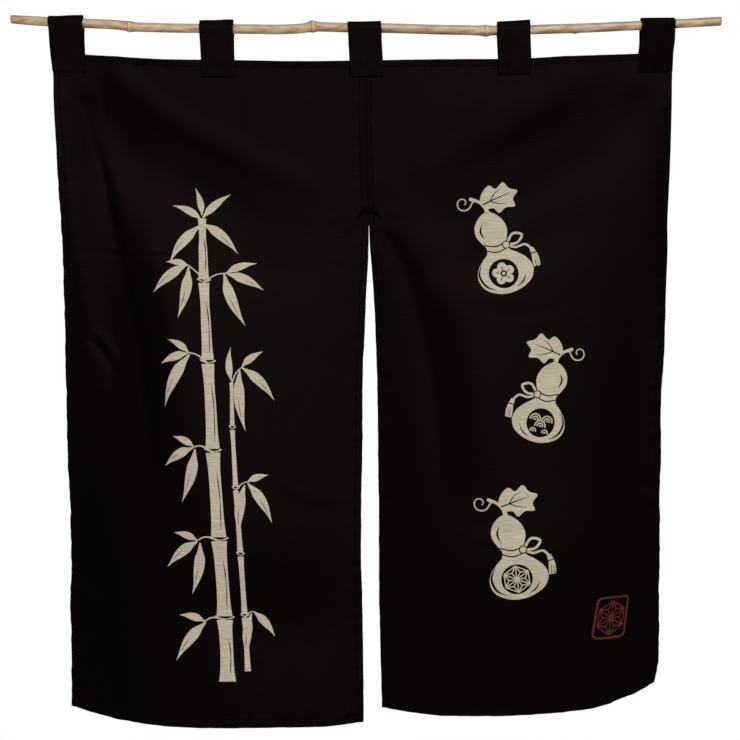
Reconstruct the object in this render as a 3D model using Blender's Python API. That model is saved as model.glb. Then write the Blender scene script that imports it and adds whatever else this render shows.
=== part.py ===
"""Noren curtain on a bamboo pole.

Two cloth panels hang side by side from five tabs looped over a bamboo cane. A seam joins the panels from their top
edge down to the slit, where a crescent of dense stitching holds it. X runs along the pole, the front faces -Y and
Z is up. The origin is on the pole's axis, straight above the seam. All sizes are metres.

A place on the cloth is given as it was cut: across, from the left edge, and down, from the top edge.
"""

import math
from collections import namedtuple

import bmesh
import bpy
import numpy as np

# Driving dimensions
CLOTH_WIDTH = 0.838
CLOTH_LENGTH = 0.910
CLOTH_THICK = 0.002
SEAM_LENGTH = 0.2205
TAB_WIDTH = 0.045
TAB_THICK = 0.002
TACK_WIDTH = 0.035
TACK_HEIGHT = 0.021
TACK_BAND = 0.0125
TACK_HORN = 0.003
TACK_FOOT = 0.2138  # down the cloth, where the crescent's horns end
TACK_THICK = 0.0012
FIT_GAP = 0.0003  # between two pieces that touch

# How finely the solids are cut
CLOTH_COLUMNS = 22
CLOTH_ROWS = 30
TAB_COLUMNS = 4
TAB_ROUND_STEPS = 7
TAB_CREASE_STEPS = 2
TACK_STEPS = 12
POLE_SIDES = 12
POLE_STEPS = 60
FINE_STEPS = 170  # the grid that the tabs and the crescent are placed on
FOLD_SAMPLES = 40
SHARP_ANGLE = math.radians(40)

SEAM_ACROSS = 0.425  # the right panel is cut a little narrower than the left one
PANEL_WIDTHS = {-1: SEAM_ACROSS, 1: CLOTH_WIDTH - SEAM_ACROSS}
INNER_HEM_DRAW = 0.008  # the stitched side hems are this much shorter than the cloth between them
OUTER_HEM_DRAWS = {-1: 0.004, 1: 0.017}
SIDE_HEM_REACH = 0.050
BOW_START = 0.110  # down the cloth, where the two panels begin to part
EVEN_LENGTH = 0.055  # down the cloth, over which its give evens out how far the folds draw it in

# The cane's middle line and radius, from its left end to its right one; it bends at its joints
PolePoint = namedtuple("PolePoint", "x y z radius")
POLE_LINE = (
    PolePoint(-0.479, 0.0, 0.0122, 0.0055),
    PolePoint(-0.440, 0.0, 0.0098, 0.0060),
    PolePoint(-0.320, 0.0, 0.0034, 0.0062),
    PolePoint(-0.240, 0.0, 0.0001, 0.0060),
    PolePoint(-0.150, 0.0, -0.0007, 0.0061),
    PolePoint(-0.0725, 0.0, 0.0022, 0.0062),
    PolePoint(-0.025, 0.0, 0.0007, 0.0061),
    PolePoint(0.090, 0.0, -0.0012, 0.0063),
    PolePoint(0.1605, 0.0, -0.0027, 0.0064),
    PolePoint(0.250, 0.0, -0.0007, 0.0059),
    PolePoint(0.365, 0.0, 0.0034, 0.0060),
    PolePoint(0.478, 0.0, 0.0095, 0.0057),
)
CANE_JOINTS = (-0.320, -0.0725, 0.1605)
CANE_JOINT_SWELL = 0.0008
CANE_JOINT_HALF_LENGTH = 0.004

# The cloth's top edge: it hangs level with the tabs, and dips a little between them
TopPoint = namedtuple("TopPoint", "across z")
TOP_EDGE = (
    TopPoint(0.000, -0.0345),
    TopPoint(0.0225, -0.0358),
    TopPoint(0.080, -0.0393),
    TopPoint(0.143, -0.0430),
    TopPoint(0.224, -0.0440),
    TopPoint(0.336, -0.0458),
    TopPoint(0.425, -0.0447),
    TopPoint(0.525, -0.0433),
    TopPoint(0.626, -0.0424),
    TopPoint(0.705, -0.0393),
    TopPoint(0.8155, -0.0352),
    TopPoint(0.838, -0.0346),
)

# The tabs from left to right: how far the loop's top leans sideways, how high its crease stands over the pole's
# surface, how much the crease climbs from the tab's left side to its right, and how far the ends overlap the cloth
Tab = namedtuple("Tab", "across lean crease climb overlap")
TABS = (
    Tab(0.0225, -0.0050, 0.0031, 0.0030, 0.0240),
    Tab(0.22375, -0.0011, 0.0043, 0.0014, 0.0220),
    Tab(0.425, -0.0024, 0.0019, 0.0006, 0.0210),
    Tab(0.62625, -0.0022, 0.0050, 0.0024, 0.0205),
    Tab(0.8155, 0.0045, 0.0024, -0.0014, 0.0240),
)
TAB_CREASE_RADIUS = 0.00125
TAB_LEG_RISE = 0.001  # how far above the cloth's edge the two ends of a tab start to draw apart

# Where stitching holds the cloth flat: no fold runs into these places
Held = namedtuple("Held", "across down half_width half_height")
HELD_FLAT = tuple(Held(tab.across, 0.0, 0.046, 0.050) for tab in TABS) + (Held(0.425, 0.203, 0.036, 0.030),)

# How far each panel stands forward of the pole, at shares of its width, on lines across it, and how far its middle
# has swayed to the right there
Section = namedtuple("Section", "down outer quarter middle three_quarter inner sway")
SHARES = (0.0, 0.25, 0.5, 0.75, 1.0)
LEFT_SECTIONS = (
    Section(BOW_START, 0.000, 0.000, 0.000, 0.000, 0.000, 0.0000),
    Section(0.380, -0.010, 0.014, 0.034, 0.028, 0.006, -0.0016),
    Section(0.640, -0.006, 0.036, 0.064, 0.055, 0.032, -0.0027),
    Section(CLOTH_LENGTH, 0.016, 0.057, 0.079, 0.072, 0.061, -0.0008),
)
RIGHT_SECTIONS = (
    Section(BOW_START, 0.000, 0.000, 0.000, 0.000, 0.000, 0.0000),
    Section(0.360, -0.027, 0.001, 0.013, 0.008, -0.008, 0.0075),
    Section(0.640, -0.042, 0.006, 0.030, 0.025, -0.001, 0.0124),
    Section(CLOTH_LENGTH, -0.046, 0.005, 0.024, 0.022, 0.000, 0.0150),
)

# Soft ridges (forward) and troughs (back), each along a curve through a start, a middle and an end on the cloth
Fold = namedtuple("Fold", "start middle end half_width forward")
FOLDS = (
    # the pull lines from the end tabs to the top of the slit, each a ridge over a broad trough
    Fold((0.060, -0.006), (0.162, 0.076), (0.369, 0.174), 0.019, 0.0045),
    Fold((0.035, 0.043), (0.119, 0.152), (0.349, 0.242), 0.045, -0.0145),
    Fold((0.758, -0.014), (0.644, 0.070), (0.464, 0.158), 0.030, 0.0045),
    Fold((0.816, 0.032), (0.697, 0.158), (0.484, 0.240), 0.045, -0.0115),
    # beside the left edge
    Fold((-0.003, 0.013), (0.010, 0.190), (0.051, 0.491), 0.022, 0.0080),
    Fold((0.024, 0.047), (0.073, 0.225), (0.135, 0.586), 0.016, -0.0062),
    Fold((0.098, 0.122), (0.143, 0.286), (0.193, 0.655), 0.045, 0.0150),
    # down from the slit's top
    Fold((0.433, 0.229), (0.487, 0.341), (0.520, 0.627), 0.016, -0.0055),
    Fold((0.471, 0.225), (0.547, 0.341), (0.593, 0.627), 0.038, 0.0105),
    # the right edge, which curls forward
    Fold((0.843, 0.030), (0.845, 0.350), (0.845, 0.880), 0.027, 0.0150),
)

Finish = namedtuple("Finish", "name colour roughness")
CLOTH_FINISH = Finish("black slub cloth", (0.010, 0.006, 0.006, 1.0), 0.9)
THREAD_FINISH = Finish("black sewing thread", (0.005, 0.005, 0.007, 1.0), 0.6)
BAMBOO_FINISH = Finish("dried bamboo", (0.50, 0.36, 0.22, 1.0), 0.45)


def smooth_curve(stations, values, at, start_slope=None):
    """A smooth curve through the values, read at the given places. Past its ends it stays level."""
    stations = np.asarray(stations, float)
    values = np.asarray(values, float)
    slopes = np.gradient(values, stations)
    if start_slope is not None:
        slopes[0] = start_slope
    at = np.clip(at, stations[0], stations[-1])
    i = np.clip(np.searchsorted(stations, at) - 1, 0, len(stations) - 2)
    step = stations[i + 1] - stations[i]
    t = (at - stations[i]) / step
    return (
        values[i] * (1 + 2 * t) * (1 - t) ** 2
        + slopes[i] * step * t * (1 - t) ** 2
        + values[i + 1] * t**2 * (3 - 2 * t)
        + slopes[i + 1] * step * t**2 * (t - 1)
    )


def pole_at(x):
    """The cane's centre (y, z) and radius at x, without the swelling of its joints."""
    line = np.array(POLE_LINE)
    return [smooth_curve(line[:, 0], line[:, k], x) for k in (1, 2, 3)]


def top_edge_z(across):
    edge = np.array(TOP_EDGE)
    return smooth_curve(edge[:, 0], edge[:, 1], across)


def fold_height(fold, across, down):
    """How far one fold lifts the cloth: a soft bank along its curve, fading out at both ends."""
    start, middle, end = (np.array(p) for p in (fold.start, fold.middle, fold.end))
    bend = 2 * middle - (start + end) / 2
    t = (np.arange(FOLD_SAMPLES) + 0.5) / FOLD_SAMPLES
    points = np.outer((1 - t) ** 2, start) + np.outer(2 * t * (1 - t), bend) + np.outer(t**2, end)
    runs = 2 * np.outer(1 - t, bend - start) + 2 * np.outer(t, end - bend)
    lengths = np.linalg.norm(runs, axis=1) / FOLD_SAMPLES
    fade = np.sin(math.pi * t) ** 0.5
    apart = (across[..., None] - points[:, 0]) ** 2 + (down[..., None] - points[:, 1]) ** 2
    bank = np.exp(-apart / fold.half_width**2) @ (fade * lengths)
    return fold.forward * bank / (fold.half_width * math.sqrt(math.pi))


def free_to_fold(across, down):
    """1 where the cloth can fold, 0 where stitching holds it flat."""
    free = np.ones_like(across)
    for held in HELD_FLAT:
        beside = ((across - held.across) / held.half_width) ** 4
        below = ((down - held.down) / held.half_height) ** 4
        free *= 1 - np.exp(-beside - below)
    return free


def forward_of_pole(sections, share, across, down):
    """How far the cloth stands in front of the pole's axis, on a grid of places. The seam holds the inner edges
    straight below the pole as far as the slit."""
    table = np.array(sections)
    starts = [table[:, 0]] * 4 + [np.maximum(table[:, 0], SEAM_LENGTH)]
    lines = [smooth_curve(start, table[:, k], down[:, 0], 0.0) for k, start in enumerate(starts, 1)]
    bow = np.stack([smooth_curve(SHARES, places, share[0]) for places in np.transpose(lines)])
    return bow + free_to_fold(across, down) * sum(fold_height(fold, across, down) for fold in FOLDS)


def run_along(heights, step, axis):
    """How far the cloth reaches along an axis, when its own length there is kept over the given heights."""
    rise = np.diff(heights, axis=axis)
    reach = np.sqrt(np.maximum(step**2 - rise**2, 0))
    first = np.zeros_like(np.take(heights, [0], axis=axis))
    return np.concatenate([first, np.cumsum(reach, axis=axis)], axis=axis)


def evened(widths, step):
    """The widths of the hanging cloth on lines down it, each averaged with those near it."""
    places = np.arange(len(widths)) * step
    weights = np.exp(-(((places[:, None] - places) / EVEN_LENGTH) ** 2))
    return weights @ widths / weights.sum(axis=1)


def panel_surface(side, columns, rows):
    """The middle surface of a panel as a grid of points [row, column], from its left edge to its right one.
    side is -1 for the left panel and 1 for the right."""
    half_gap = FIT_GAP / 2
    if side < 0:
        line = np.linspace(0, SEAM_ACROSS - half_gap, columns + 1)
    else:
        line = np.linspace(SEAM_ACROSS + half_gap, CLOTH_WIDTH, columns + 1)
    across, down = np.meshgrid(line, np.linspace(0, CLOTH_LENGTH, rows + 1))
    from_seam = np.abs(across - SEAM_ACROSS)
    share = 1 - from_seam / PANEL_WIDTHS[side]
    sections = LEFT_SECTIONS if side < 0 else RIGHT_SECTIONS
    order = slice(None) if side < 0 else slice(None, None, -1)
    forward = forward_of_pole(sections, share[:, order], across[:, order], down[:, order])[:, order]
    reach = run_along(forward, line[1] - line[0], axis=1)
    width = reach[:, -1]
    reach = reach * (evened(width, CLOTH_LENGTH / rows) / width)[:, None]
    # The seam's end stays above the seam as far as the slit. Below it, the panel's middle hangs straight.
    table = np.array(sections)
    sway = smooth_curve(np.maximum(table[:, 0], SEAM_LENGTH), table[:, 6], down[:, :1], 0.0)
    slit_row = int(round(SEAM_LENGTH / CLOTH_LENGTH * rows))
    at_seam = -1 if side < 0 else 0
    x_from_seam = reach - reach[:, at_seam][:, None] + side * half_gap
    middle = (x_from_seam[:, :1] + x_from_seam[:, -1:]) / 2
    x = x_from_seam.copy()
    x[slit_row:] += middle[slit_row] - middle[slit_row:] + sway[slit_row:]
    drop = run_along(forward, CLOTH_LENGTH / rows, axis=0)
    from_outer = PANEL_WIDTHS[side] - from_seam
    drawn = INNER_HEM_DRAW * np.exp(-((from_seam / SIDE_HEM_REACH) ** 2))
    drawn = drawn + OUTER_HEM_DRAWS[side] * np.exp(-((from_outer / SIDE_HEM_REACH) ** 2))
    z = top_edge_z(across) - drop * (1 - drawn)
    return np.stack([x, -forward, z], axis=-1)


def whole_cloth():
    """Both panels' middle surfaces on one fine grid of places."""
    left = panel_surface(-1, FINE_STEPS, FINE_STEPS)
    right = panel_surface(1, FINE_STEPS, FINE_STEPS)
    return np.concatenate([left[:, :-1], right], axis=1)


def cloth_point(cloth, across, down):
    """A point on the middle surface, read between the points of the fine grid."""
    rows, columns = cloth.shape[0] - 1, cloth.shape[1] - 1
    row = down / CLOTH_LENGTH * rows
    column = np.interp(across, (0, SEAM_ACROSS, CLOTH_WIDTH), (0, columns / 2, columns))
    i, j = min(int(row), rows - 1), min(int(column), columns - 1)
    s, t = row - i, column - j
    upper = cloth[i, j] * (1 - t) + cloth[i, j + 1] * t
    lower = cloth[i + 1, j] * (1 - t) + cloth[i + 1, j + 1] * t
    return upper * (1 - s) + lower * s


def add_object(name, bm, material):
    bmesh.ops.recalc_face_normals(bm, faces=bm.faces)
    mesh = bpy.data.meshes.new(name)
    bm.to_mesh(mesh)
    bm.free()
    mesh.shade_smooth()
    mesh.set_sharp_from_angle(angle=SHARP_ANGLE)
    mesh.materials.append(material)
    item = bpy.data.objects.new(name, mesh)
    bpy.context.scene.collection.objects.link(item)
    return item


def grid_faces(bm, points):
    """Faces over a grid of points [row, column]. Seen from the side they face, rows run down and columns right."""
    verts = [[bm.verts.new(p) for p in row] for row in points]
    for upper, lower in zip(verts, verts[1:]):
        for k in range(len(upper) - 1):
            bm.faces.new((upper[k], lower[k], lower[k + 1], upper[k + 1]))
    return verts


def sheet_object(name, points, thick, material):
    """A closed sheet of even thickness over a grid of points, half of its thickness on each side."""
    bm = bmesh.new()
    grid_faces(bm, points)
    item = add_object(name, bm, material)
    solid = item.modifiers.new("Thickness", "SOLIDIFY")
    solid.thickness = thick
    solid.offset = 0
    solid.use_even_offset = True
    return item


def make_material(finish):
    made = bpy.data.materials.new(finish.name)
    made.use_nodes = True
    shader = made.node_tree.nodes["Principled BSDF"]
    shader.inputs["Base Color"].default_value = finish.colour
    shader.inputs["Roughness"].default_value = finish.roughness
    shader.inputs["Metallic"].default_value = 0.0
    return made


def build_panels(fabric):
    sheet_object("panel_left", panel_surface(-1, CLOTH_COLUMNS, CLOTH_ROWS), CLOTH_THICK, fabric)
    sheet_object("panel_right", panel_surface(1, CLOTH_COLUMNS, CLOTH_ROWS), CLOTH_THICK, fabric)


def arc(centre, radius, start, end, steps):
    angles = np.linspace(start, end, steps + 1)
    return np.stack([centre[0] + radius * np.cos(angles), centre[1] + radius * np.sin(angles)], axis=1)


def loop_half(side, leg, centre, radius, crease):
    """One half of a tab's loop as (y, z) points, from the cloth's edge up to the crease. side is -1 for the front.
    leg is where it leaves the cloth, and centre and radius are those of its own curve round the pole."""
    away = np.array([(leg[0] - centre[0]) * side, leg[1] - centre[1]])
    lowest = math.atan2(away[1], away[0]) + math.acos(radius / np.linalg.norm(away))
    height = radius + max(crease, 0)
    lean = math.acos(radius / height)
    round_pole = arc((0, 0), radius, lowest, math.pi / 2 - lean, TAB_ROUND_STEPS)
    crease_centre = (0, height - TAB_CREASE_RADIUS / math.cos(lean))
    over_crease = arc(crease_centre, TAB_CREASE_RADIUS, math.pi / 2 - lean, math.pi / 2, TAB_CREASE_STEPS)
    local = np.concatenate([round_pole, over_crease])
    return np.stack([centre[0] + side * local[:, 0], centre[1] + local[:, 1]], axis=1)


def tab_column(tab, share, cloth):
    """The loop's section at one place across the tab, as points from the front end over the pole to the back."""
    across = tab.across + (share - 0.5) * TAB_WIDTH
    stand = CLOTH_THICK / 2 + FIT_GAP + TAB_THICK / 2
    edge = cloth_point(cloth, across, 0.0)
    pole_y, pole_z, pole_radius = pole_at(edge[0] + tab.lean)
    radius = pole_radius + FIT_GAP + TAB_THICK / 2
    crease = tab.crease + tab.climb * (share - 0.5) - FIT_GAP - TAB_THICK / 2
    halves = []
    for side in (-1, 1):
        sewn = [cloth_point(cloth, across, down) for down in (tab.overlap, tab.overlap / 2)] + [edge]
        sewn = [point + (0, side * stand, 0) for point in sewn]
        sewn[-1][2] += TAB_LEG_RISE
        leg = sewn[-1][1:]
        loop = loop_half(side, leg, (pole_y, pole_z), radius, crease)
        climb = np.clip((loop[:, 1] - leg[1]) / (pole_z - leg[1]), 0, 1)
        loop = np.column_stack([edge[0] + tab.lean * climb, loop])
        halves.append(np.concatenate([sewn, loop]))
    return np.concatenate([halves[0], halves[1][-2::-1]])


def build_tabs(cloth, fabric):
    for number, tab in enumerate(TABS, 1):
        columns = [tab_column(tab, share, cloth) for share in np.linspace(0, 1, TAB_COLUMNS + 1)]
        points = np.stack(columns, axis=1)[::-1]
        sheet_object(f"tab_{number}", points, TAB_THICK, fabric)


def build_tack(cloth, thread):
    """The crescent over the slit, between two half ellipses that share the line through the horns' ends."""
    stand = CLOTH_THICK / 2 + FIT_GAP + TACK_THICK / 2
    outer = (TACK_WIDTH / 2, TACK_HEIGHT)
    inner = (TACK_WIDTH / 2 - TACK_HORN, TACK_HEIGHT - TACK_BAND)
    rows = []
    for blend in (0, 0.5, 1):
        half_width, height = (o + (i - o) * blend for o, i in zip(outer, inner))
        row = []
        for angle in np.linspace(math.pi, 0, TACK_STEPS + 1):
            across = SEAM_ACROSS + half_width * math.cos(angle)
            down = TACK_FOOT - height * math.sin(angle)
            row.append(cloth_point(cloth, across, down) - (0, stand, 0))
        rows.append(row)
    sheet_object("slit_tack", rows, TACK_THICK, thread)


def cane_swell(x):
    """The rings that stand proud at the cane's joints."""
    near = [np.exp(-(((x - joint) / CANE_JOINT_HALF_LENGTH) ** 2)) for joint in CANE_JOINTS]
    return CANE_JOINT_SWELL * sum(near)


def build_pole(bamboo):
    stations = np.linspace(POLE_LINE[0].x, POLE_LINE[-1].x, POLE_STEPS + 1)
    rings = [joint + step * CANE_JOINT_HALF_LENGTH for joint in CANE_JOINTS for step in (-2, -1, 0, 1, 2)]
    stations = np.sort(np.concatenate([stations, rings]))
    bm = bmesh.new()
    ends = []
    for x in stations:
        y, z, radius = pole_at(x)
        radius = radius + cane_swell(x)
        angles = np.arange(POLE_SIDES) * 2 * math.pi / POLE_SIDES
        ends.append([bm.verts.new((x, y + radius * math.cos(a), z + radius * math.sin(a))) for a in angles])
    for near, far in zip(ends, ends[1:]):
        for k in range(POLE_SIDES):
            after = (k + 1) % POLE_SIDES
            bm.faces.new((near[k], near[after], far[after], far[k]))
    bm.faces.new(ends[0])
    bm.faces.new(ends[-1])
    add_object("pole", bm, bamboo)


def main():
    for item in list(bpy.data.objects):
        bpy.data.objects.remove(item, do_unlink=True)
    fabric = make_material(CLOTH_FINISH)
    cloth = whole_cloth()
    build_panels(fabric)
    build_tabs(cloth, fabric)
    build_tack(cloth, make_material(THREAD_FINISH))
    build_pole(make_material(BAMBOO_FINISH))


main()
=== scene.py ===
"""The looks of a noren curtain: two panels of black slub cloth with cream brush prints, on a crooked bamboo
pole.

The cloth hangs on the same sections and main folds as the solids. Soft folds, creases and uneven edges lie
on top of them, and the pole and the tabs follow the real ones a little more closely. Places on the cloth
are given as it was cut, in metres: across from its left edge, and down from its top edge. The prints are
drawn in millimetres. X runs along the pole, the front faces -Y and Z is up.
"""

import math
from collections import namedtuple

import bpy
import numpy as np
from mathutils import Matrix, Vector
from mathutils.geometry import delaunay_2d_cdt
from mathutils.kdtree import KDTree


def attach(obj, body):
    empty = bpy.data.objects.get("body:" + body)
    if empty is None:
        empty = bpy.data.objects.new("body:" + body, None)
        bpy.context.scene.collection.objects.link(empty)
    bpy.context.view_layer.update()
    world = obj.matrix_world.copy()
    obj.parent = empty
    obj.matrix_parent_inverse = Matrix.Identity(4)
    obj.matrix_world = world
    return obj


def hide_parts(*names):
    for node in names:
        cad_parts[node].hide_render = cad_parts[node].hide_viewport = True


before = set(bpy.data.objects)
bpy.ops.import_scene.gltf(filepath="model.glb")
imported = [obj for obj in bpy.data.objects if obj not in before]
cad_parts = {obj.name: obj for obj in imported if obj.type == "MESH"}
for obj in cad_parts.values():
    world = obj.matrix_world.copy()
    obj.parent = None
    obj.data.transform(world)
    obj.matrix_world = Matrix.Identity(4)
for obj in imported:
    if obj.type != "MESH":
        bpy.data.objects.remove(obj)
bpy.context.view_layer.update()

MM = 0.001


def table(columns, *rows):
    """A short table: the names of its columns, then its rows."""
    row = namedtuple("Row", columns)
    return tuple(row(*values) for values in rows)


# ---------------------------------------- the cloth's sizes, as in the solids
CLOTH_WIDTH = 0.838
CLOTH_LENGTH = 0.910
SEAM_LENGTH = 0.2205
TAB_WIDTH = 0.045
FIT_GAP = 0.0003
SEAM_ACROSS = 0.425
PANEL_WIDTHS = {-1: SEAM_ACROSS, 1: CLOTH_WIDTH - SEAM_ACROSS}
INNER_HEM_DRAW = 0.008
OUTER_HEM_DRAWS = {-1: 0.004, 1: 0.017}
SIDE_HEM_REACH = 0.050
BOW_START = 0.110
EVEN_LENGTH = 0.055

POLE_LINE = table(
    "x z radius",
    (-0.479, 0.0114, 0.0057), (-0.440, 0.0088, 0.0062), (-0.362, 0.0052, 0.0063), (-0.335, 0.0039, 0.0064),
    (-0.315, 0.0016, 0.0064), (-0.288, 0.0005, 0.0063), (-0.227, -0.0007, 0.0062),
    (-0.157, -0.0016, 0.0063), (-0.106, -0.0017, 0.0064), (-0.086, -0.0004, 0.0064),
    (-0.0725, 0.0019, 0.0065), (-0.060, 0.0015, 0.0064), (-0.025, 0.0004, 0.0064), (0.033, -0.0004, 0.0064),
    (0.107, -0.0025, 0.0066), (0.1605, -0.0034, 0.0066), (0.250, -0.0015, 0.0062), (0.365, 0.0030, 0.0062),
    (0.478, 0.0088, 0.0060),
)
# The cane's joints, and how far each stands out on its upper and its lower side, in millimetres
CANE_JOINTS = table("x above under", (-0.320, 0.3, 0.6), (-0.0725, 1.2, 1.0), (0.1605, 0.4, 1.1))

TOP_EDGE = table(
    "across z",
    (0.000, -0.0345), (0.0225, -0.0358), (0.080, -0.0393), (0.143, -0.0430), (0.224, -0.0440),
    (0.336, -0.0458), (0.425, -0.0447), (0.525, -0.0433), (0.626, -0.0424), (0.705, -0.0393),
    (0.8155, -0.0352), (0.838, -0.0346),
)

# Lean is sideways, and climb is how much higher a tab's crease is on its right. The column after the overlap
# is
# how much darker its layers look: partly from pressing, partly painted shade. The last four are how far its
# sides draw in, low down and at the top
TABS = table(
    "across lean crease climb overlap pressed left_low left_high right_low right_high",
    (0.0225, -0.0020, 0.0027, 0.0046, 0.0240, -0.12, -0.0006, 0.0, 0.0012, 0.0),
    (0.22375, -0.0011, 0.0056, 0.0019, 0.0220, 0.02, 0.0001, -0.0003, 0.0009, 0.0006),
    (0.425, -0.0024, 0.0017, 0.0020, 0.0210, 0.0, 0.0010, 0.0010, 0.0, 0.0),
    (0.62625, -0.0022, 0.0063, 0.0023, 0.0205, 0.20, 0.0, 0.0, 0.0015, 0.0013),
    (0.8155, 0.0045, 0.0025, -0.0022, 0.0240, 0.50, 0.0002, -0.0025, -0.0003, 0.0038),
)

# Where stitching holds the cloth flat: at each tab, and at the crescent
HELD_FLAT = table(
    "across down half_width half_height",
    *((tab.across, 0.0, 0.046, 0.050) for tab in TABS),
    (SEAM_ACROSS, 0.203, 0.036, 0.030),
)

SECTION_COLUMNS = "down outer quarter middle three_quarter inner sway"
SHARES = (0.0, 0.25, 0.5, 0.75, 1.0)
LEFT_SECTIONS = table(
    SECTION_COLUMNS,
    (BOW_START, 0.000, 0.000, 0.000, 0.000, 0.000, 0.0000),
    (0.380, -0.010, 0.014, 0.034, 0.028, 0.006, -0.0016),
    (0.640, -0.006, 0.036, 0.064, 0.055, 0.032, -0.0027),
    (CLOTH_LENGTH, 0.016, 0.057, 0.079, 0.072, 0.061, -0.0008),
)
RIGHT_SECTIONS = table(
    SECTION_COLUMNS,
    (BOW_START, 0.000, 0.000, 0.000, 0.000, 0.000, 0.0000),
    (0.360, -0.027, 0.001, 0.013, 0.008, -0.008, 0.0075),
    (0.640, -0.042, 0.006, 0.030, 0.025, -0.001, 0.0124),
    (CLOTH_LENGTH, -0.046, 0.005, 0.024, 0.022, 0.000, 0.0150),
)

# Folds in millimetres: three places that each runs through, across and down the cloth, half its width, and
# how far forward it lifts the cloth
FOLD_COLUMNS = "start middle end half_width forward"
FOLDS = table(
    FOLD_COLUMNS,
    # the pull lines from the end tabs to the top of the slit, each a ridge over a broad trough
    ((60, -6), (162, 76), (369, 174), 19, 4.5), ((35, 43), (119, 152), (349, 242), 45, -14.5),
    ((758, -14), (644, 70), (464, 158), 30, 4.5), ((816, 32), (697, 158), (484, 240), 45, -11.5),
    # beside the left edge
    ((-3, 13), (10, 190), (51, 491), 22, 8), ((24, 47), (73, 225), (135, 586), 16, -6.2),
    ((98, 122), (143, 286), (193, 655), 45, 15),
    # down from the slit's top
    ((433, 229), (487, 341), (520, 627), 16, -5.5), ((471, 225), (547, 341), (593, 627), 38, 10.5),
    # the right edge, which curls forward
    ((843, 30), (845, 350), (845, 880), 27, 15),
)
FOLD_SAMPLES = 40

# Folds that lie on top of the main ones
SOFT_FOLDS = table(
    FOLD_COLUMNS,
    # the left edge turns to the right, and the fold beside it lies closer to it
    ((-15, 35), (-18, 280), (-4, 560), 52, 16), ((20, 60), (45, 95), (75, 130), 25, 3.5),
    ((64, 100), (86, 260), (118, 560), 20, 5.5), ((150, 130), (185, 200), (215, 270), 40, 4.5),
    # the cloth hangs straighter below the pull lines, and the one on the right starts higher
    ((130, 215), (225, 262), (350, 285), 32, -8.5), ((740, 210), (620, 262), (480, 285), 32, -8),
    ((705, -10), (620, 35), (500, 75), 30, 5), ((740, 60), (650, 115), (540, 150), 30, -4.5),
    # the lower part: the right panel turns down, the left one up, and its corner aside
    ((430, 735), (620, 705), (850, 640), 85, 10.5), ((60, 540), (100, 730), (140, 930), 45, 8),
    ((190, 765), (300, 770), (430, 765), 80, -13),
)

# Fine creases that lie on top of the main folds
CREASES = table(
    FOLD_COLUMNS,
    ((6, 260), (130, 262), (262, 266), 3.5, 1.4), ((6, 266), (130, 268), (262, 272), 4.5, -1.1),
    ((24, 378), (46, 398), (74, 434), 5.5, -2.6), ((36, 372), (62, 396), (90, 432), 6, 2.2),
    ((368, 272), (382, 277), (398, 287), 4, -0.8), ((50, 26), (64, 55), (70, 110), 6, -1.2),
    ((246, 24), (252, 60), (250, 110), 6, -0.9), ((200, 24), (192, 55), (170, 95), 6, 0.8),
    ((602, 24), (590, 60), (560, 100), 6, -1), ((652, 24), (660, 70), (655, 130), 6, -0.9),
    ((804, 28), (790, 70), (780, 125), 7, -1.4), ((404, 26), (398, 70), (385, 110), 6, -0.8),
    ((447, 24), (456, 75), (470, 120), 6, -0.9), ((408, 222), (396, 236), (378, 262), 4.5, -1.1),
    ((414, 228), (408, 248), (400, 290), 4, 0.9), ((440, 224), (452, 240), (470, 268), 4.5, -1.2),
    ((434, 230), (440, 258), (446, 300), 4, 1), ((405, 206), (385, 208), (350, 222), 5, 0.8),
    ((446, 206), (470, 205), (500, 214), 5, 0.8), ((560, 330), (620, 345), (700, 340), 8, -1),
    ((780, 560), (810, 600), (846, 620), 7, -1.2), ((520, 640), (580, 655), (640, 650), 10, 1),
    ((10, 700), (50, 740), (110, 760), 9, -1.2), ((300, 560), (350, 590), (415, 600), 9, 1),
    ((407, 880), (402, 893), (392, 908), 4, 1.5), ((6, 26.2), (22.5, 26.6), (42, 26), 2.8, 1.1),
)

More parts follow.
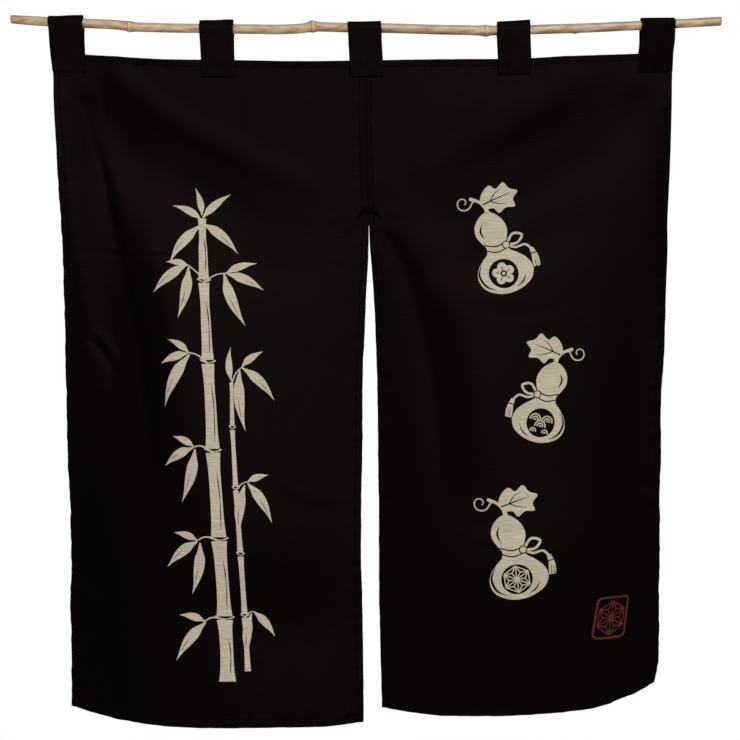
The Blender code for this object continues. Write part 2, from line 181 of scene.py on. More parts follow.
# How the cloth's real edges stray from the smooth ones of the solids, in millimetres. Each pair is a place
# down a side edge with its shift to the right, or a place across with the hem's shift down. The seam holds
# the two inner edges together as far as the slit.
SIDE_STRAYS = {
    (-1, "outer"): (
        (0, -1.8), (30, -0.3), (60, -1.0), (85, -1.2), (112, 0.5), (140, 3.0), (195, 7.0), (275, 8.0),
        (330, 6.0), (385, 4.2), (425, 2.2), (465, 2.0), (520, -0.2), (576, -1.9), (625, -0.4), (648, -0.5),
        (690, 0.2), (731, 0.0), (760, -1.7), (790, -0.8), (830, 0.0), (910, 0.0),
    ),
    (-1, "inner"): (
        (0, -1.1), (70, -1.1), (110, -0.6), (150, 0.5), (200, 2.6), (222, 3.3), (250, 3.7), (281, 3.8),
        (300, 3.2), (345, 2.9), (380, 2.7), (396, 2.0), (460, 1.6), (526, 2.3), (558, 1.8), (590, 0.9),
        (640, 0.3), (690, -0.5), (722, 0.5), (790, 0.8), (850, 0.2), (910, -0.4),
    ),
    (1, "inner"): (
        (0, -1.1), (70, -1.1), (110, -0.6), (150, 0.5), (200, 2.6), (222, 3.3), (250, 3.2), (281, 3.4),
        (300, 2.9), (330, 2.0), (380, 0.7), (430, 0.4), (460, 0.0), (526, -0.8), (576, -1.2), (625, -1.0),
        (657, -1.7), (690, -2.1), (723, -2.8), (756, -3.4), (790, -2.8), (821, -2.5), (870, -1.5),
        (910, -1.0),
    ),
    (1, "outer"): (
        (0, 1.0), (118, 1.6), (147, 1.1), (190, 0.3), (233, 0.7), (261, 1.9), (290, 1.6), (318, 0.5),
        (360, -0.2), (433, -1.1), (461, -2.7), (518, -2.4), (547, -1.1), (575, -0.7), (633, -1.6),
        (661, -0.4), (690, 0.0), (718, 1.4), (775, 2.2), (804, 3.7), (850, 4.8), (874, 5.0), (884, 4.9),
        (892, 3.9), (900, 2.1), (910, -0.3),
    ),
}
HEM_STRAYS = {
    -1: (
        (0, 0.5), (9, 1.2), (26, 2.6), (44, 3.8), (61, 2.3), (87, 2.6), (131, 2.9), (166, 4.4), (190, 4.7),
        (218, 3.4), (253, 1.8), (288, 0.3), (323, -0.7), (357, 0.0), (392, 2.3), (425, 2.4),
    ),
    1: (
        (425, 0.8), (448, 2.4), (466, 1.7), (501, 1.9), (555, 2.2), (629, 1.8), (662, 1.5), (715, 0.7),
        (733, 0.0), (751, -1.4), (768, -2.9), (786, -0.9), (796, 0.9), (805, 2.0), (813, 2.9), (821, 3.9),
        (829, 2.4), (838, 0.6),
    ),
}
TOP_RAISE = 1.2 * MM
SIDE_STRAY_REACH = 70 * MM
HEM_STRAY_REACH = 80 * MM

# How the cloth is made up: hems are folded to the back, so they only stand proud a little in front
BODY_THICK = 0.8 * MM
HEM_FRONT_RISE = 0.15 * MM
HEM_BACK_RISE = 0.85 * MM
# Its stitch line and its inner edge in metres from the cloth's edge, and how much darker its layers look:
# partly from pressing, partly painted shade
Hem = namedtuple("Hem", "stitch width pressed")
LEFT_HEM = Hem(0.0064, 0.0092, 0.10)
RIGHT_HEM = Hem(0.0083, 0.0113, 0.45)
SLIT_HEM_LEFT = Hem(0.0088, 0.0115, 0.30)
SLIT_HEM_RIGHT = Hem(0.0070, 0.0100, 0.45)
TOP_HEM = Hem(0.0085, 0.0115, 0.28)
BOTTOM_HEM = Hem(0.0110, 0.0140, 0.40)
HEM_RAMP = (-0.4 * MM, 0.6 * MM)  # from its width, where a hem gives way to single cloth
EDGE_ROUND = 0.42  # how far a rounded edge stands out, as a share of the cloth's thickness
STITCH_SINK = 0.45 * MM
STITCH_SINK_SHARE = 0.35  # of it, where a stitch line hardly sinks in
STITCH_SINK_REACH = 1.3 * MM
GROOVE_REACH = 1.1 * MM
# Painted shade along a stitch line's groove: how much darker the cloth is painted there
GROOVE_SHADE = 0.3  # along a whole stitch line
GROOVE_MORE_SHADE = 0.65  # where the line sinks in
PUCKER_HEIGHT = 0.32 * MM
PUCKER_REACH = 9 * MM
PUCKER_PITCH = 8.5 * MM
EDGE_WAVE_HEIGHT = 0.7 * MM
EDGE_WAVE_REACH = 14 * MM
EDGE_WAVE_LENGTH = 42 * MM
SOFT_WAVE_HEIGHT = 0.55 * MM
# How far the very edges tip forward: left, right, top and bottom
EDGE_TIPS = {-1: (0.9 * MM, 0.3 * MM, 1.1 * MM, 0.2 * MM), 1: (0.3 * MM, 1.0 * MM, 1.1 * MM, 0.3 * MM)}

CLOTH_SPACING = 3.5 * MM  # between the points of a panel
FINE_SPACING = 1.25 * MM  # between those of the surface that they are read from
OUTLINE_CLEARANCE = 1.2 * MM

STITCH_PITCH = 3.0 * MM
STITCH_LENGTH = 2.5 * MM
THREAD_THICK = 0.55 * MM
STITCH_RUN = 31 * MM  # a stitch line sinks in and comes up again about this often
SEAM_MEET = 0.42 * MM  # how far the rounded edges reach out at the seam, where two of them meet
SEAM_HOLD = 7 * MM

# Painted shade on a tab: how much darker its sewn ends, and its rims along the ends and over the crease, are
# painted
TAB_END_SHADE = 0.22  # more than the rest of the tab
TAB_RIM_SHADE = 0.92
TAB_WEAVE_FROM = 0.9  # how far down the weave a tab's front end lies
TAB_THICK = 1.5 * MM
TAB_EDGE_ROUND = 0.45
TAB_WAVE_HEIGHT = 0.30 * MM
TAB_SIDE_WANDER = 0.35 * MM
TAB_CREASE_RADIUS = 0.00105
LEAST_CREASE = 0.25 * MM  # a tab's middle stands at least this much off the pole on top
TAB_COLUMNS = 22
TAB_SEWN_ROWS = 12
TAB_ROUND_STEPS = 22
TAB_CREASE_STEPS = 5

TACK_WIDTH = 0.035
TACK_HEIGHT = 0.021
TACK_BAND = 0.0125
TACK_HORN = 0.003
TACK_FOOT = 0.2138
TACK_THREADS = 96
TACK_THREAD_THICK = 0.62 * MM
TACK_THREAD_STEPS = 8
TACK_RISE = 0.15 * MM  # from the cloth's face to the threads' ends
TACK_ARCH = 0.75 * MM
TACK_UNEVEN = 0.12 * MM  # every second thread lies this much higher


# ---------------------------------------- small helpers
def smooth_curve(stations, values, at, start_slope=None):
    """A smooth curve through the values, read at the given places. Past its ends it stays level."""
    stations = np.asarray(stations, float)
    values = np.asarray(values, float)
    slopes = np.gradient(values, stations)
    if start_slope is not None:
        slopes[0] = start_slope
    at = np.clip(at, stations[0], stations[-1])
    i = np.clip(np.searchsorted(stations, at) - 1, 0, len(stations) - 2)
    step = stations[i + 1] - stations[i]
    t = (at - stations[i]) / step
    return (
        values[i] * (1 + 2 * t) * (1 - t) ** 2
        + slopes[i] * step * t * (1 - t) ** 2
        + values[i + 1] * t**2 * (3 - 2 * t)
        + slopes[i + 1] * step * t**2 * (t - 1)
    )


def smooth_step(at, low, high):
    t = np.clip((at - low) / (high - low), 0, 1)
    return t * t * (3 - 2 * t)


def bell(at, width):
    return np.exp(-((at / width) ** 2))


def unit(vectors):
    return vectors / np.linalg.norm(vectors, axis=-1, keepdims=True)


def uneven_wave(phase):
    """An irregular wave between about -1 and 1, for things that hands and cloth never make quite even."""
    return (np.sin(phase) + 0.7 * np.sin(1.73 * phase + 1.3) + 0.5 * np.sin(2.91 * phase + 4.1)) / 2


def hex_colour(code):
    """An sRGB hex colour as linear red, green, blue and alpha."""
    parts = [int(code[i : i + 2], 16) / 255 for i in (1, 3, 5)]
    return tuple(c / 12.92 if c <= 0.04045 else ((c + 0.055) / 1.055) ** 2.4 for c in parts) + (1.0,)


def add_node(tree, kind, inputs=None, **settings):
    """Adds a node. inputs gives a value, or the socket that feeds it, for each named or numbered input."""
    node = tree.nodes.new(kind)
    for name, value in settings.items():
        setattr(node, name, value)
    for name, value in (inputs or {}).items():
        if isinstance(value, bpy.types.NodeSocket):
            tree.links.new(value, node.inputs[name])
        else:
            node.inputs[name].default_value = value
    return node


def add_mesh(name, verts, faces, materials, smooth=True):
    mesh = bpy.data.meshes.new(name)
    mesh.from_pydata([tuple(v) for v in verts], [], [tuple(int(i) for i in f) for f in faces])
    for material in materials:
        mesh.materials.append(material)
    if smooth:
        mesh.shade_smooth()
    item = bpy.data.objects.new(name, mesh)
    bpy.context.scene.collection.objects.link(item)
    return item


def set_uv(item, places):
    """Lays a UV map over a mesh, from one flat place in metres for each vertex."""
    layer = item.data.uv_layers.new(name="cloth")
    corners = np.zeros(len(item.data.loops), np.int64)
    item.data.loops.foreach_get("vertex_index", corners)
    layer.data.foreach_set("uv", np.asarray(places, np.float32)[corners].ravel())


def set_values(item, name, values):
    layer = item.data.attributes.new(name, "FLOAT", "POINT")
    layer.data.foreach_set("value", np.asarray(values, np.float32))


def on_sheet(values, rim):
    """Values at a sheet's places, spread to the points of its front, its back and its rounded edge."""
    return np.concatenate([values, values, values[rim]])


def add_sheet(name, front, back, bulge, faces, rim, rim_pairs, flat, materials):
    """A closed sheet. Its back has the faces of its front turned round, and two rows of faces along the rim
    join both to the bulge of its rounded edge. flat gives each place as cut."""
    total = len(front)
    on_bulge = {int(place): 2 * total + k for k, place in enumerate(rim)}
    sides = []
    for low, high in rim_pairs.tolist():
        sides.append((low, high, on_bulge[high], on_bulge[low]))
        sides.append((on_bulge[low], on_bulge[high], high + total, low + total))
    every = [*faces, *(faces[:, ::-1] + total), *sides]
    item = add_mesh(name, np.concatenate([front, back, bulge]), every, materials)
    set_uv(item, on_sheet(flat, rim))
    return item


# ---------------------------------------- the shape in which the cloth hangs
def free_to_fold(across, down):
    """1 where the cloth can fold, 0 where stitching holds it flat."""
    free = np.ones_like(across)
    for held in HELD_FLAT:
        beside = ((across - held.across) / held.half_width) ** 4
        below = ((down - held.down) / held.half_height) ** 4
        free *= 1 - np.exp(-beside - below)
    return free


def fold_curve(fold, t):
    """Places along a fold's curve through its start, middle and end, and the way it runs at each."""
    start, middle, end = (np.array(p) * MM for p in (fold.start, fold.middle, fold.end))
    bend = 2 * middle - (start + end) / 2
    points = np.outer((1 - t) ** 2, start) + np.outer(2 * t * (1 - t), bend) + np.outer(t**2, end)
    return points, 2 * np.outer(1 - t, bend - start) + 2 * np.outer(t, end - bend)


def fold_height(fold, across, down):
    """How far one fold lifts the cloth: a soft bank along its curve, fading out at both ends."""
    t = (np.arange(FOLD_SAMPLES) + 0.5) / FOLD_SAMPLES
    points, runs = fold_curve(fold, t)
    lengths = np.linalg.norm(runs, axis=1) / FOLD_SAMPLES
    fade = np.sin(math.pi * t) ** 0.5
    apart = (across[..., None] - points[:, 0]) ** 2 + (down[..., None] - points[:, 1]) ** 2
    half_width = fold.half_width * MM
    bank = np.exp(-apart / half_width**2) @ (fade * lengths)
    return fold.forward * MM * bank / (half_width * math.sqrt(math.pi))


def crease_height(crease, across, down):
    """A fine crease, worked out from the distance to its curve so that it stays even along its length."""
    points, _ = fold_curve(crease, np.linspace(0, 1, 2 * FOLD_SAMPLES + 1))
    runs = points[1:] - points[:-1]
    half_width = crease.half_width * MM
    reach = 3 * half_width
    low, high = points.min(0) - reach, points.max(0) + reach
    height = np.zeros_like(across)
    near = (across > low[0]) & (across < high[0]) & (down > low[1]) & (down < high[1])
    place = np.stack([across[near], down[near]], axis=-1)[:, None, :] - points[:-1]
    along = np.clip((place * runs).sum(-1) / (runs**2).sum(-1), 0, 1)
    apart = ((place - along[..., None] * runs) ** 2).sum(-1)
    closest = apart.argmin(axis=1)
    rows = np.arange(len(closest))
    share = (closest + along[rows, closest]) / len(runs)
    bank = np.exp(-apart[rows, closest] / half_width**2)
    height[near] = crease.forward * MM * bank * np.sin(math.pi * share)
    return height


def forward_of_pole(sections, share, across, down):
    """How far the cloth stands in front of the pole's axis, on a grid of places. The seam holds the inner
    edges straight below the pole as far as the slit."""
    levels = np.array(sections)
    starts = [levels[:, 0]] * 4 + [np.maximum(levels[:, 0], SEAM_LENGTH)]
    lines = [smooth_curve(start, levels[:, k], down[:, 0], 0.0) for k, start in enumerate(starts, 1)]
    bow = np.stack([smooth_curve(SHARES, places, share[0]) for places in np.transpose(lines)])
    return bow + free_to_fold(across, down) * sum(fold_height(fold, across, down) for fold in FOLDS)


def run_along(heights, step, axis):
    """How far the cloth reaches along an axis, when its own length there is kept over the given heights."""
    rise = np.diff(heights, axis=axis)
    reach = np.sqrt(np.maximum(step**2 - rise**2, 0))
    first = np.zeros_like(np.take(heights, [0], axis=axis))
    return np.concatenate([first, np.cumsum(reach, axis=axis)], axis=axis)


def evened(widths, step):
    """The widths of the hanging cloth on lines down it, each averaged with those near it."""
    places = np.arange(len(widths)) * step
    weights = bell(places[:, None] - places, EVEN_LENGTH)
    return weights @ widths / weights.sum(axis=1)


def panel_surface(side, columns, rows):
    """The middle surface of a panel as a grid of points [row, column], from its left edge to its right one.
    side is -1 for the left panel and 1 for the right."""
    half_gap = FIT_GAP / 2
    if side < 0:
        line = np.linspace(0, SEAM_ACROSS - half_gap, columns + 1)
    else:
        line = np.linspace(SEAM_ACROSS + half_gap, CLOTH_WIDTH, columns + 1)
    across, down = np.meshgrid(line, np.linspace(0, CLOTH_LENGTH, rows + 1))
    from_seam = np.abs(across - SEAM_ACROSS)
    share = 1 - from_seam / PANEL_WIDTHS[side]
    sections = LEFT_SECTIONS if side < 0 else RIGHT_SECTIONS
    order = slice(None) if side < 0 else slice(None, None, -1)
    forward = forward_of_pole(sections, share[:, order], across[:, order], down[:, order])[:, order]
    reach = run_along(forward, line[1] - line[0], axis=1)
    width = reach[:, -1]
    reach = reach * (evened(width, CLOTH_LENGTH / rows) / width)[:, None]
    # The seam's end stays above the seam as far as the slit. Below it, the panel's middle hangs straight.
    levels = np.array(sections)
    sway = smooth_curve(np.maximum(levels[:, 0], SEAM_LENGTH), levels[:, 6], down[:, :1], 0.0)
    slit_row = int(round(SEAM_LENGTH / CLOTH_LENGTH * rows))
    at_seam = -1 if side < 0 else 0
    x_from_seam = reach - reach[:, at_seam][:, None] + side * half_gap
    middle = (x_from_seam[:, :1] + x_from_seam[:, -1:]) / 2
    x = x_from_seam.copy()
    x[slit_row:] += middle[slit_row] - middle[slit_row:] + sway[slit_row:]
    drop = run_along(forward, CLOTH_LENGTH / rows, axis=0)
    from_outer = PANEL_WIDTHS[side] - from_seam
    drawn = INNER_HEM_DRAW * bell(from_seam, SIDE_HEM_REACH)
    drawn = drawn + OUTER_HEM_DRAWS[side] * bell(from_outer, SIDE_HEM_REACH)
    edge = np.array(TOP_EDGE)
    z = smooth_curve(edge[:, 0], edge[:, 1], across) - drop * (1 - drawn)
    return np.stack([x, -forward, z], axis=-1)


Surface = namedtuple("Surface", "side left width points right_way down_way outward")


def make_surface(side):
    """A panel's surface on a fine grid, with its directions to the right, down the cloth and out of its
    front."""
    columns = int(PANEL_WIDTHS[side] / FINE_SPACING)
    rows = int(CLOTH_LENGTH / FINE_SPACING)
    points = panel_surface(side, columns, rows)
    width = PANEL_WIDTHS[side]
    across = np.linspace(0, width, columns + 1)
    down = np.linspace(0, CLOTH_LENGTH, rows + 1)
    for end, from_edge in (("outer", across[::-side]), ("inner", across[::side])):
        places, shifts = np.transpose(SIDE_STRAYS[side, end])
        stray = smooth_curve(places, shifts, down / MM) * MM
        points[..., 0] += stray[:, None] * bell(from_edge, SIDE_STRAY_REACH)
    places, shifts = np.transpose(HEM_STRAYS[side])
    left_edge = 0.0 if side < 0 else SEAM_ACROSS
    hem_stray = smooth_curve(places, shifts, (left_edge + across) / MM) * MM
    points[..., 2] -= hem_stray * bell(CLOTH_LENGTH - down, HEM_STRAY_REACH)[:, None]
    points[..., 2] += TOP_RAISE * bell(down, HEM_STRAY_REACH)[:, None]
    right_way = unit(np.gradient(points, axis=1))
    down_way = unit(np.gradient(points, axis=0))
    outward = unit(np.cross(down_way, right_way))
    left = 0.0 if side < 0 else SEAM_ACROSS + FIT_GAP / 2
    return Surface(side, left, PANEL_WIDTHS[side] - FIT_GAP / 2, points, right_way, down_way, outward)


def read_surface(surface, across, down):
    """Points and directions of a panel's surface at any places on the cloth."""
    rows, columns = (n - 1 for n in surface.points.shape[:2])
    column = np.clip((across - surface.left) / surface.width, 0, 1) * columns
    row = np.clip(down / CLOTH_LENGTH, 0, 1) * rows
    i = np.minimum(row.astype(int), rows - 1)
    j = np.minimum(column.astype(int), columns - 1)
    s, t = (row - i)[:, None], (column - j)[:, None]

    def blend(grid):
        upper = grid[i, j] * (1 - t) + grid[i, j + 1] * t
        lower = grid[i + 1, j] * (1 - t) + grid[i + 1, j + 1] * t
        return upper * (1 - s) + lower * s

    ways = (surface.right_way, surface.down_way, surface.outward)
    return (blend(surface.points), *(unit(blend(way)) for way in ways))


def hems_of(surface):
    """A panel's hems with the distance of any place from each one's edge: left, right, top and bottom."""
    left_hem, right_hem = (LEFT_HEM, SLIT_HEM_LEFT) if surface.side < 0 else (SLIT_HEM_RIGHT, RIGHT_HEM)
    return (
        (left_hem, lambda across, down: across - surface.left),
        (right_hem, lambda across, down: surface.left + surface.width - across),
        (TOP_HEM, lambda across, down: down),
        (BOTTOM_HEM, lambda across, down: CLOTH_LENGTH - down),
    )


def stitch_depth(surface, number, across, down):
    """How deep a hem's stitch line sinks in, from 0 to 1. It comes and goes along the hem."""
    along = down if number < 2 else across
    phase = 2 * math.pi * along / STITCH_RUN + 1.9 * number + 0.8 * surface.side
    return smooth_step(uneven_wave(phase), -0.45, 0.25)


def fine_relief(surface, across, down):
    """What the cloth does on top of its main folds: creases, puckered hems, wavy edges and soft
    unevenness."""
    free = free_to_fold(across, down)
    relief = sum(crease_height(crease, across, down) for crease in CREASES)
    relief = relief + free * sum(fold_height(fold, across, down) for fold in SOFT_FOLDS)
    soft = uneven_wave(across / 0.021 + 1.5 * np.sin(down / 0.060))
    relief = relief + SOFT_WAVE_HEIGHT * soft * uneven_wave(down / 0.034 + across / 0.050) * free
    # The seam holds both inner edges level with each other, so the hems' own waves end there
    beside_seam = bell(across - SEAM_ACROSS, SEAM_HOLD)
    free = free * (1 - beside_seam * (1 - smooth_step(down, SEAM_LENGTH - 4 * MM, SEAM_LENGTH + 10 * MM)))
    for number, (hem, distance) in enumerate(hems_of(surface)):
        from_edge = distance(across, down)
        along = down if number < 2 else across
        pucker = uneven_wave(2 * math.pi * along / PUCKER_PITCH + 2.1 * number + surface.side)
        relief = relief + PUCKER_HEIGHT * pucker * bell(from_edge - hem.stitch, PUCKER_REACH) * free
        wave = uneven_wave(2 * math.pi * along / EDGE_WAVE_LENGTH + 1.7 * number + 2 * surface.side)
        relief = relief + EDGE_WAVE_HEIGHT * wave * bell(from_edge, EDGE_WAVE_REACH) * free
        tip = EDGE_TIPS[surface.side][number] * (1 + 0.25 * wave)
        relief = relief + tip * bell(1.4 * from_edge, hem.stitch) * free
    return relief


def front_and_back(surface, across, down):
    """How far the front and the back of the cloth lie from its middle surface, hems and stitch lines
    included."""
    in_hem = np.zeros_like(across)
    sink = np.zeros_like(across)
    for number, (hem, distance) in enumerate(hems_of(surface)):
        from_edge = distance(across, down)
        in_hem = np.maximum(in_hem, 1 - smooth_step(from_edge, *(hem.width + end for end in HEM_RAMP)))
        groove = bell(from_edge - hem.stitch, STITCH_SINK_REACH)
        depth = stitch_depth(surface, number, across, down)
        sink = np.maximum(sink, groove * (STITCH_SINK_SHARE + (1 - STITCH_SINK_SHARE) * depth))
    relief = fine_relief(surface, across, down)
    front = relief + BODY_THICK / 2 + HEM_FRONT_RISE * in_hem - STITCH_SINK * sink
    back = relief - BODY_THICK / 2 - HEM_BACK_RISE * in_hem + STITCH_SINK * sink * in_hem
    return front, back


# ---------------------------------------- brush work for the prints, in millimetres
Print = namedtuple("Print", "outline ink")  # outline is a closed line of places in millimetres
GROUND, CREAM, RED = 0, 1, 2
OUTLINE_STEP = 1.7


def line_through(points, step=OUTLINE_STEP):
    """Places along a smooth curve through the given ones."""
    points = np.array(points, float)
    stations = np.r_[0, np.cumsum(np.hypot(*np.diff(points, axis=0).T))]
    at = np.linspace(0, stations[-1], max(int(stations[-1] / step), 3) + 1)
    return np.stack([smooth_curve(stations, points[:, k], at) for k in (0, 1)], axis=1), at / stations[-1]


def closed_through(points):
    """A smooth closed outline through the given places."""
    points = np.array(points, float)
    wrapped = np.concatenate([points[-2:], points, points[:3]])
    stations = np.r_[0, np.cumsum(np.hypot(*np.diff(wrapped, axis=0).T))]
    start, end = stations[2], stations[2 + len(points)]
    at = np.linspace(start, end, max(int((end - start) / OUTLINE_STEP), 6) + 1)[:-1]
    return np.stack([smooth_curve(stations, wrapped[:, k], at) for k in (0, 1)], axis=1)


def brush(points, widths, blunt=False, step=OUTLINE_STEP):
    """The outline of a brush stroke through the given places. widths are spread evenly along it. Its ends
    are round, or straight if it is blunt."""
    line, share = line_through(points, step)
    half = smooth_curve(np.linspace(0, 1, len(widths)), widths, share) / 2
    along = unit(np.gradient(line, axis=0))
    beside = np.stack([-along[:, 1], along[:, 0]], axis=1)
    left, right = line + beside * half[:, None], line - beside * half[:, None]
    pieces = [left]
    for end, way in ((-1, 1), (0, -1)):
        if not blunt and half[end] > 0.5:
            turn = np.linspace(0, math.pi, 2 + int(math.pi * half[end] / step))[1:-1, None]
            round_end = beside[end] * np.cos(turn) + along[end] * np.sin(turn)
            pieces.append(line[end] + way * half[end] * round_end)
        if end == -1:
            pieces.append(right[::-1])
    return np.concatenate(pieces)


def ring_of(centre, radius):
    count = max(8, int(2 * math.pi * radius / OUTLINE_STEP))
    angles = np.arange(count) * 2 * math.pi / count
    return np.array(centre) + radius * np.stack([np.cos(angles), np.sin(angles)], axis=1)


def placed(prints, centre, tilt=0.0, scale=1.0):
    """The same prints turned, scaled and moved to a centre on the cloth."""
    c, s = math.cos(math.radians(tilt)) * scale, math.sin(math.radians(tilt)) * scale
    turn = np.array([[c, s], [-s, c]])
    return [Print(p.outline @ turn + np.array(centre), p.ink) for p in prints]


def stroke(points, widths, ink=CREAM, **ways):
    return Print(brush(points, widths, **ways), ink)


def leaf(base, angle, length, width, bend):
    """A bamboo leaf in one pull of the brush. The angle is 0 to the right and 90 straight down."""
    way = np.array([math.cos(math.radians(angle)), math.sin(math.radians(angle))])
    beside = np.array([-way[1], way[0]])
    points = [
        np.array(base) + length * (t * way + bend * 4 * t * (1 - t) * beside) for t in (0, 0.25, 0.5, 0.75, 1)
    ]
    widths = [w * width for w in (0.14, 0.50, 0.95, 1.0, 0.88, 0.58, 0.26, 0.02)]
    return stroke(points, widths)


# ---------------------------------------- the left panel's print: a bamboo in cream ink
CANE_COLUMNS = "across down width"
MAIN_CANE = table(
    CANE_COLUMNS,
    (238, 850, 20.0), (235, 762, 19.0), (229, 652, 18.0), (221, 532, 16.5), (213, 412, 14.5),
    (205, 302, 12.5), (199, 212, 9.5),
)
THIN_CANE = table(
    CANE_COLUMNS,
    (266, 836, 7.6), (263, 758, 7.4), (258, 672, 7.0), (252, 582, 6.4), (247, 500, 5.6), (245, 436, 4.4),
)
JOINT_GAP = 5.2  # bare cloth between two lengths of cane

TWIGS = table(
    "start middle end width",
    ((206, 300), (190, 286), (182, 280), 2.6), ((205, 304), (222, 292), (236, 289), 2.4),
    ((213, 414), (196, 402), (186, 400), 2.8), ((246, 438), (252, 424), (260, 416), 2.2),
    ((221, 534), (204, 526), (194, 528), 2.8), ((252, 584), (262, 574), (268, 572), 2.2),
    ((229, 654), (210, 650), (198, 656), 2.8), ((263, 760), (272, 752), (276, 752), 2.2),
    ((235, 764), (216, 762), (206, 768), 2.8),
)

LEAVES = table(
    "across down angle length width bend",
    # the tip
    (199, 210, 256, 40, 9.0, 0.05), (200, 214, 318, 52, 10.5, -0.06), (198, 216, 205, 44, 10.0, 0.08),
    (201, 222, 38, 62, 13.0, -0.07), (197, 224, 126, 66, 13.5, 0.06),
    # beside the second joint
    (183, 281, 188, 30, 9.0, 0.06), (181, 281, 140, 58, 13.5, 0.06), (184, 284, 100, 70, 14.0, -0.04),
    (235, 289, 338, 44, 10.5, -0.07), (236, 290, 22, 54, 13.0, -0.06), (232, 291, 66, 76, 14.5, 0.05),
    # beside the third
    (187, 400, 212, 34, 9.0, 0.07), (186, 401, 160, 40, 11.0, 0.05), (188, 403, 116, 78, 15.0, 0.06),
    # the thin cane's tip
    (245, 436, 268, 46, 9.0, -0.06), (259, 416, 322, 36, 9.5, -0.06), (260, 418, 44, 60, 13.0, -0.07),
    (256, 422, 84, 82, 14.5, 0.05),
    # lower clusters
    (195, 527, 204, 32, 9.5, 0.07), (194, 529, 148, 48, 12.5, 0.06), (197, 531, 104, 74, 14.5, -0.04),
    (268, 572, 340, 30, 9.0, -0.06), (268, 574, 58, 62, 13.5, -0.06), (264, 577, 96, 70, 13.5, 0.05),
    (199, 655, 196, 34, 10.0, 0.06), (199, 657, 140, 56, 13.5, 0.05), (203, 659, 100, 72, 14.5, -0.05),
    (276, 752, 50, 44, 11.0, -0.06), (272, 755, 96, 62, 12.5, 0.05), (207, 767, 192, 36, 10.5, 0.06),
    (208, 769, 128, 66, 14.0, 0.05),
)
SLIT_OF_LEAF = 0.9  # width of the bare line that a drying brush leaves in a leaf


def cane_prints(joints):
    prints = []
    for low, high in zip(joints, joints[1:]):
        foot, head = np.array([low.across, low.down]), np.array([high.across, high.down])
        way = unit(head - foot)
        beside = np.array([-way[1], way[0]])
        start, end = foot + way * JOINT_GAP / 2, head - way * JOINT_GAP / 2
        belly = (start + end) / 2 + beside * 0.03 * low.width
        widths = [low.width * f for f in (1.16, 0.98, 0.92, 0.90)]
        widths += [high.width * f for f in (0.96, 1.0, 1.18)]
        prints.append(stroke([start, belly, end], widths, blunt=True))
        streak = [start + way * 10 + beside * 0.22 * low.width, belly + beside * 0.26 * low.width]
        streak.append(end - way * 26 + beside * 0.20 * high.width)
        if low.width > JOINT_GAP * 2:
            prints.append(stroke(streak, [0.5, 1.3, 0.9, 1.5, 0.4], GROUND))
    for joint in joints[1:-1]:
        reach = 0.66 * joint.width
        lip = [(-reach, -2.4), (-0.5 * reach, 0.2), (0.5 * reach, 0.4), (reach, -2.0)]
        prints += placed([stroke(lip, [2.2, 1.3, 1.2, 2.4])], (joint.across, joint.down))
    return prints


def bamboo_prints():
    prints = cane_prints(THIN_CANE) + cane_prints(MAIN_CANE)
    for twig in TWIGS:
        line = [twig.start, twig.middle, twig.end]
        prints.append(stroke(line, [twig.width, 0.7 * twig.width, 0.6 * twig.width]))
    for row in LEAVES:
        base = (row.across, row.down)
        prints.append(leaf(base, row.angle, row.length, row.width, row.bend))
        if row.width >= 12:
            way = np.array([math.cos(math.radians(row.angle)), math.sin(math.radians(row.angle))])
            beside = np.array([-way[1], way[0]])
            bends = [(t, row.bend * 4 * t * (1 - t) + 0.014) for t in (0.46, 0.62, 0.80)]
            dry = [np.array(base) + row.length * (t * way + b * beside) for t, b in bends]
            prints.append(stroke(dry, [0.3, SLIT_OF_LEAF, 0.3], GROUND))
    return prints


# ---------------------------------------- the right panel's print: gourds and a red seal
GOURD_PROFILE = table(
    "down half_width",
    (-57, 4.5), (-52, 12.0), (-42, 19.5), (-30, 21.5), (-19, 17.5), (-11, 13.5), (-4, 15.0), (5, 24.5),
    (16, 34.0), (29, 38.0), (42, 33.5), (51, 21.0), (55, 7.0),
)
GOURDS = table(
    "across down tilt scale flip ornament",
    (606, 262, -13, 1.02, 1, "plum"), (662, 470, 15, 1.00, -1, "waves"), (612, 682, -8, 1.06, 1, "hemp"),
)
ORNAMENT_CENTRE = (0, 28)
ORNAMENT_RADIUS = 20.0


def plum_prints():
    """A five-petalled plum blossom."""
    prints = []
    for k in range(5):
        angle = math.radians(90 + 72 * k)
        prints.append(Print(ring_of((9.2 * math.cos(angle), -9.2 * math.sin(angle)), 6.2), CREAM))
    prints.append(Print(ring_of((0, 0), 4.4), GROUND))
    prints.append(Print(ring_of((0, 0), 2.4), CREAM))
    for k in range(5):
        angle = math.radians(90 + 72 * k)
        ray = [(r * math.cos(angle), -r * math.sin(angle)) for r in (3.6, 6.5, 9.4)]
        prints.append(stroke(ray, [0.9, 0.9, 1.6], GROUND))
    return prints


def wave_prints():
    """Rows of round waves, each a set of arcs inside one another."""
    prints = []
    for row, (down, shifts) in enumerate(((-3.5, (-8.5, 8.5)), (4.5, (-17, 0, 17)), (12.5, (-8.5, 8.5)))):
        for shift in shifts:
            for radius, ink in ((8.2, CREAM), (6.4, GROUND), (4.8, CREAM), (3.0, GROUND), (1.6, CREAM)):
                turn = np.linspace(math.pi, 2 * math.pi, 5 + int(radius * 2))
                crest = np.stack([shift + radius * np.cos(turn), down + radius * np.sin(turn)], axis=1)
                if (np.hypot(*crest.T) < ORNAMENT_RADIUS - 1.6).all():
                    foot = [(shift + radius, down + 1.0), (shift - radius, down + 1.0)]
                    prints.append(Print(np.concatenate([crest, foot]), ink))
    return prints


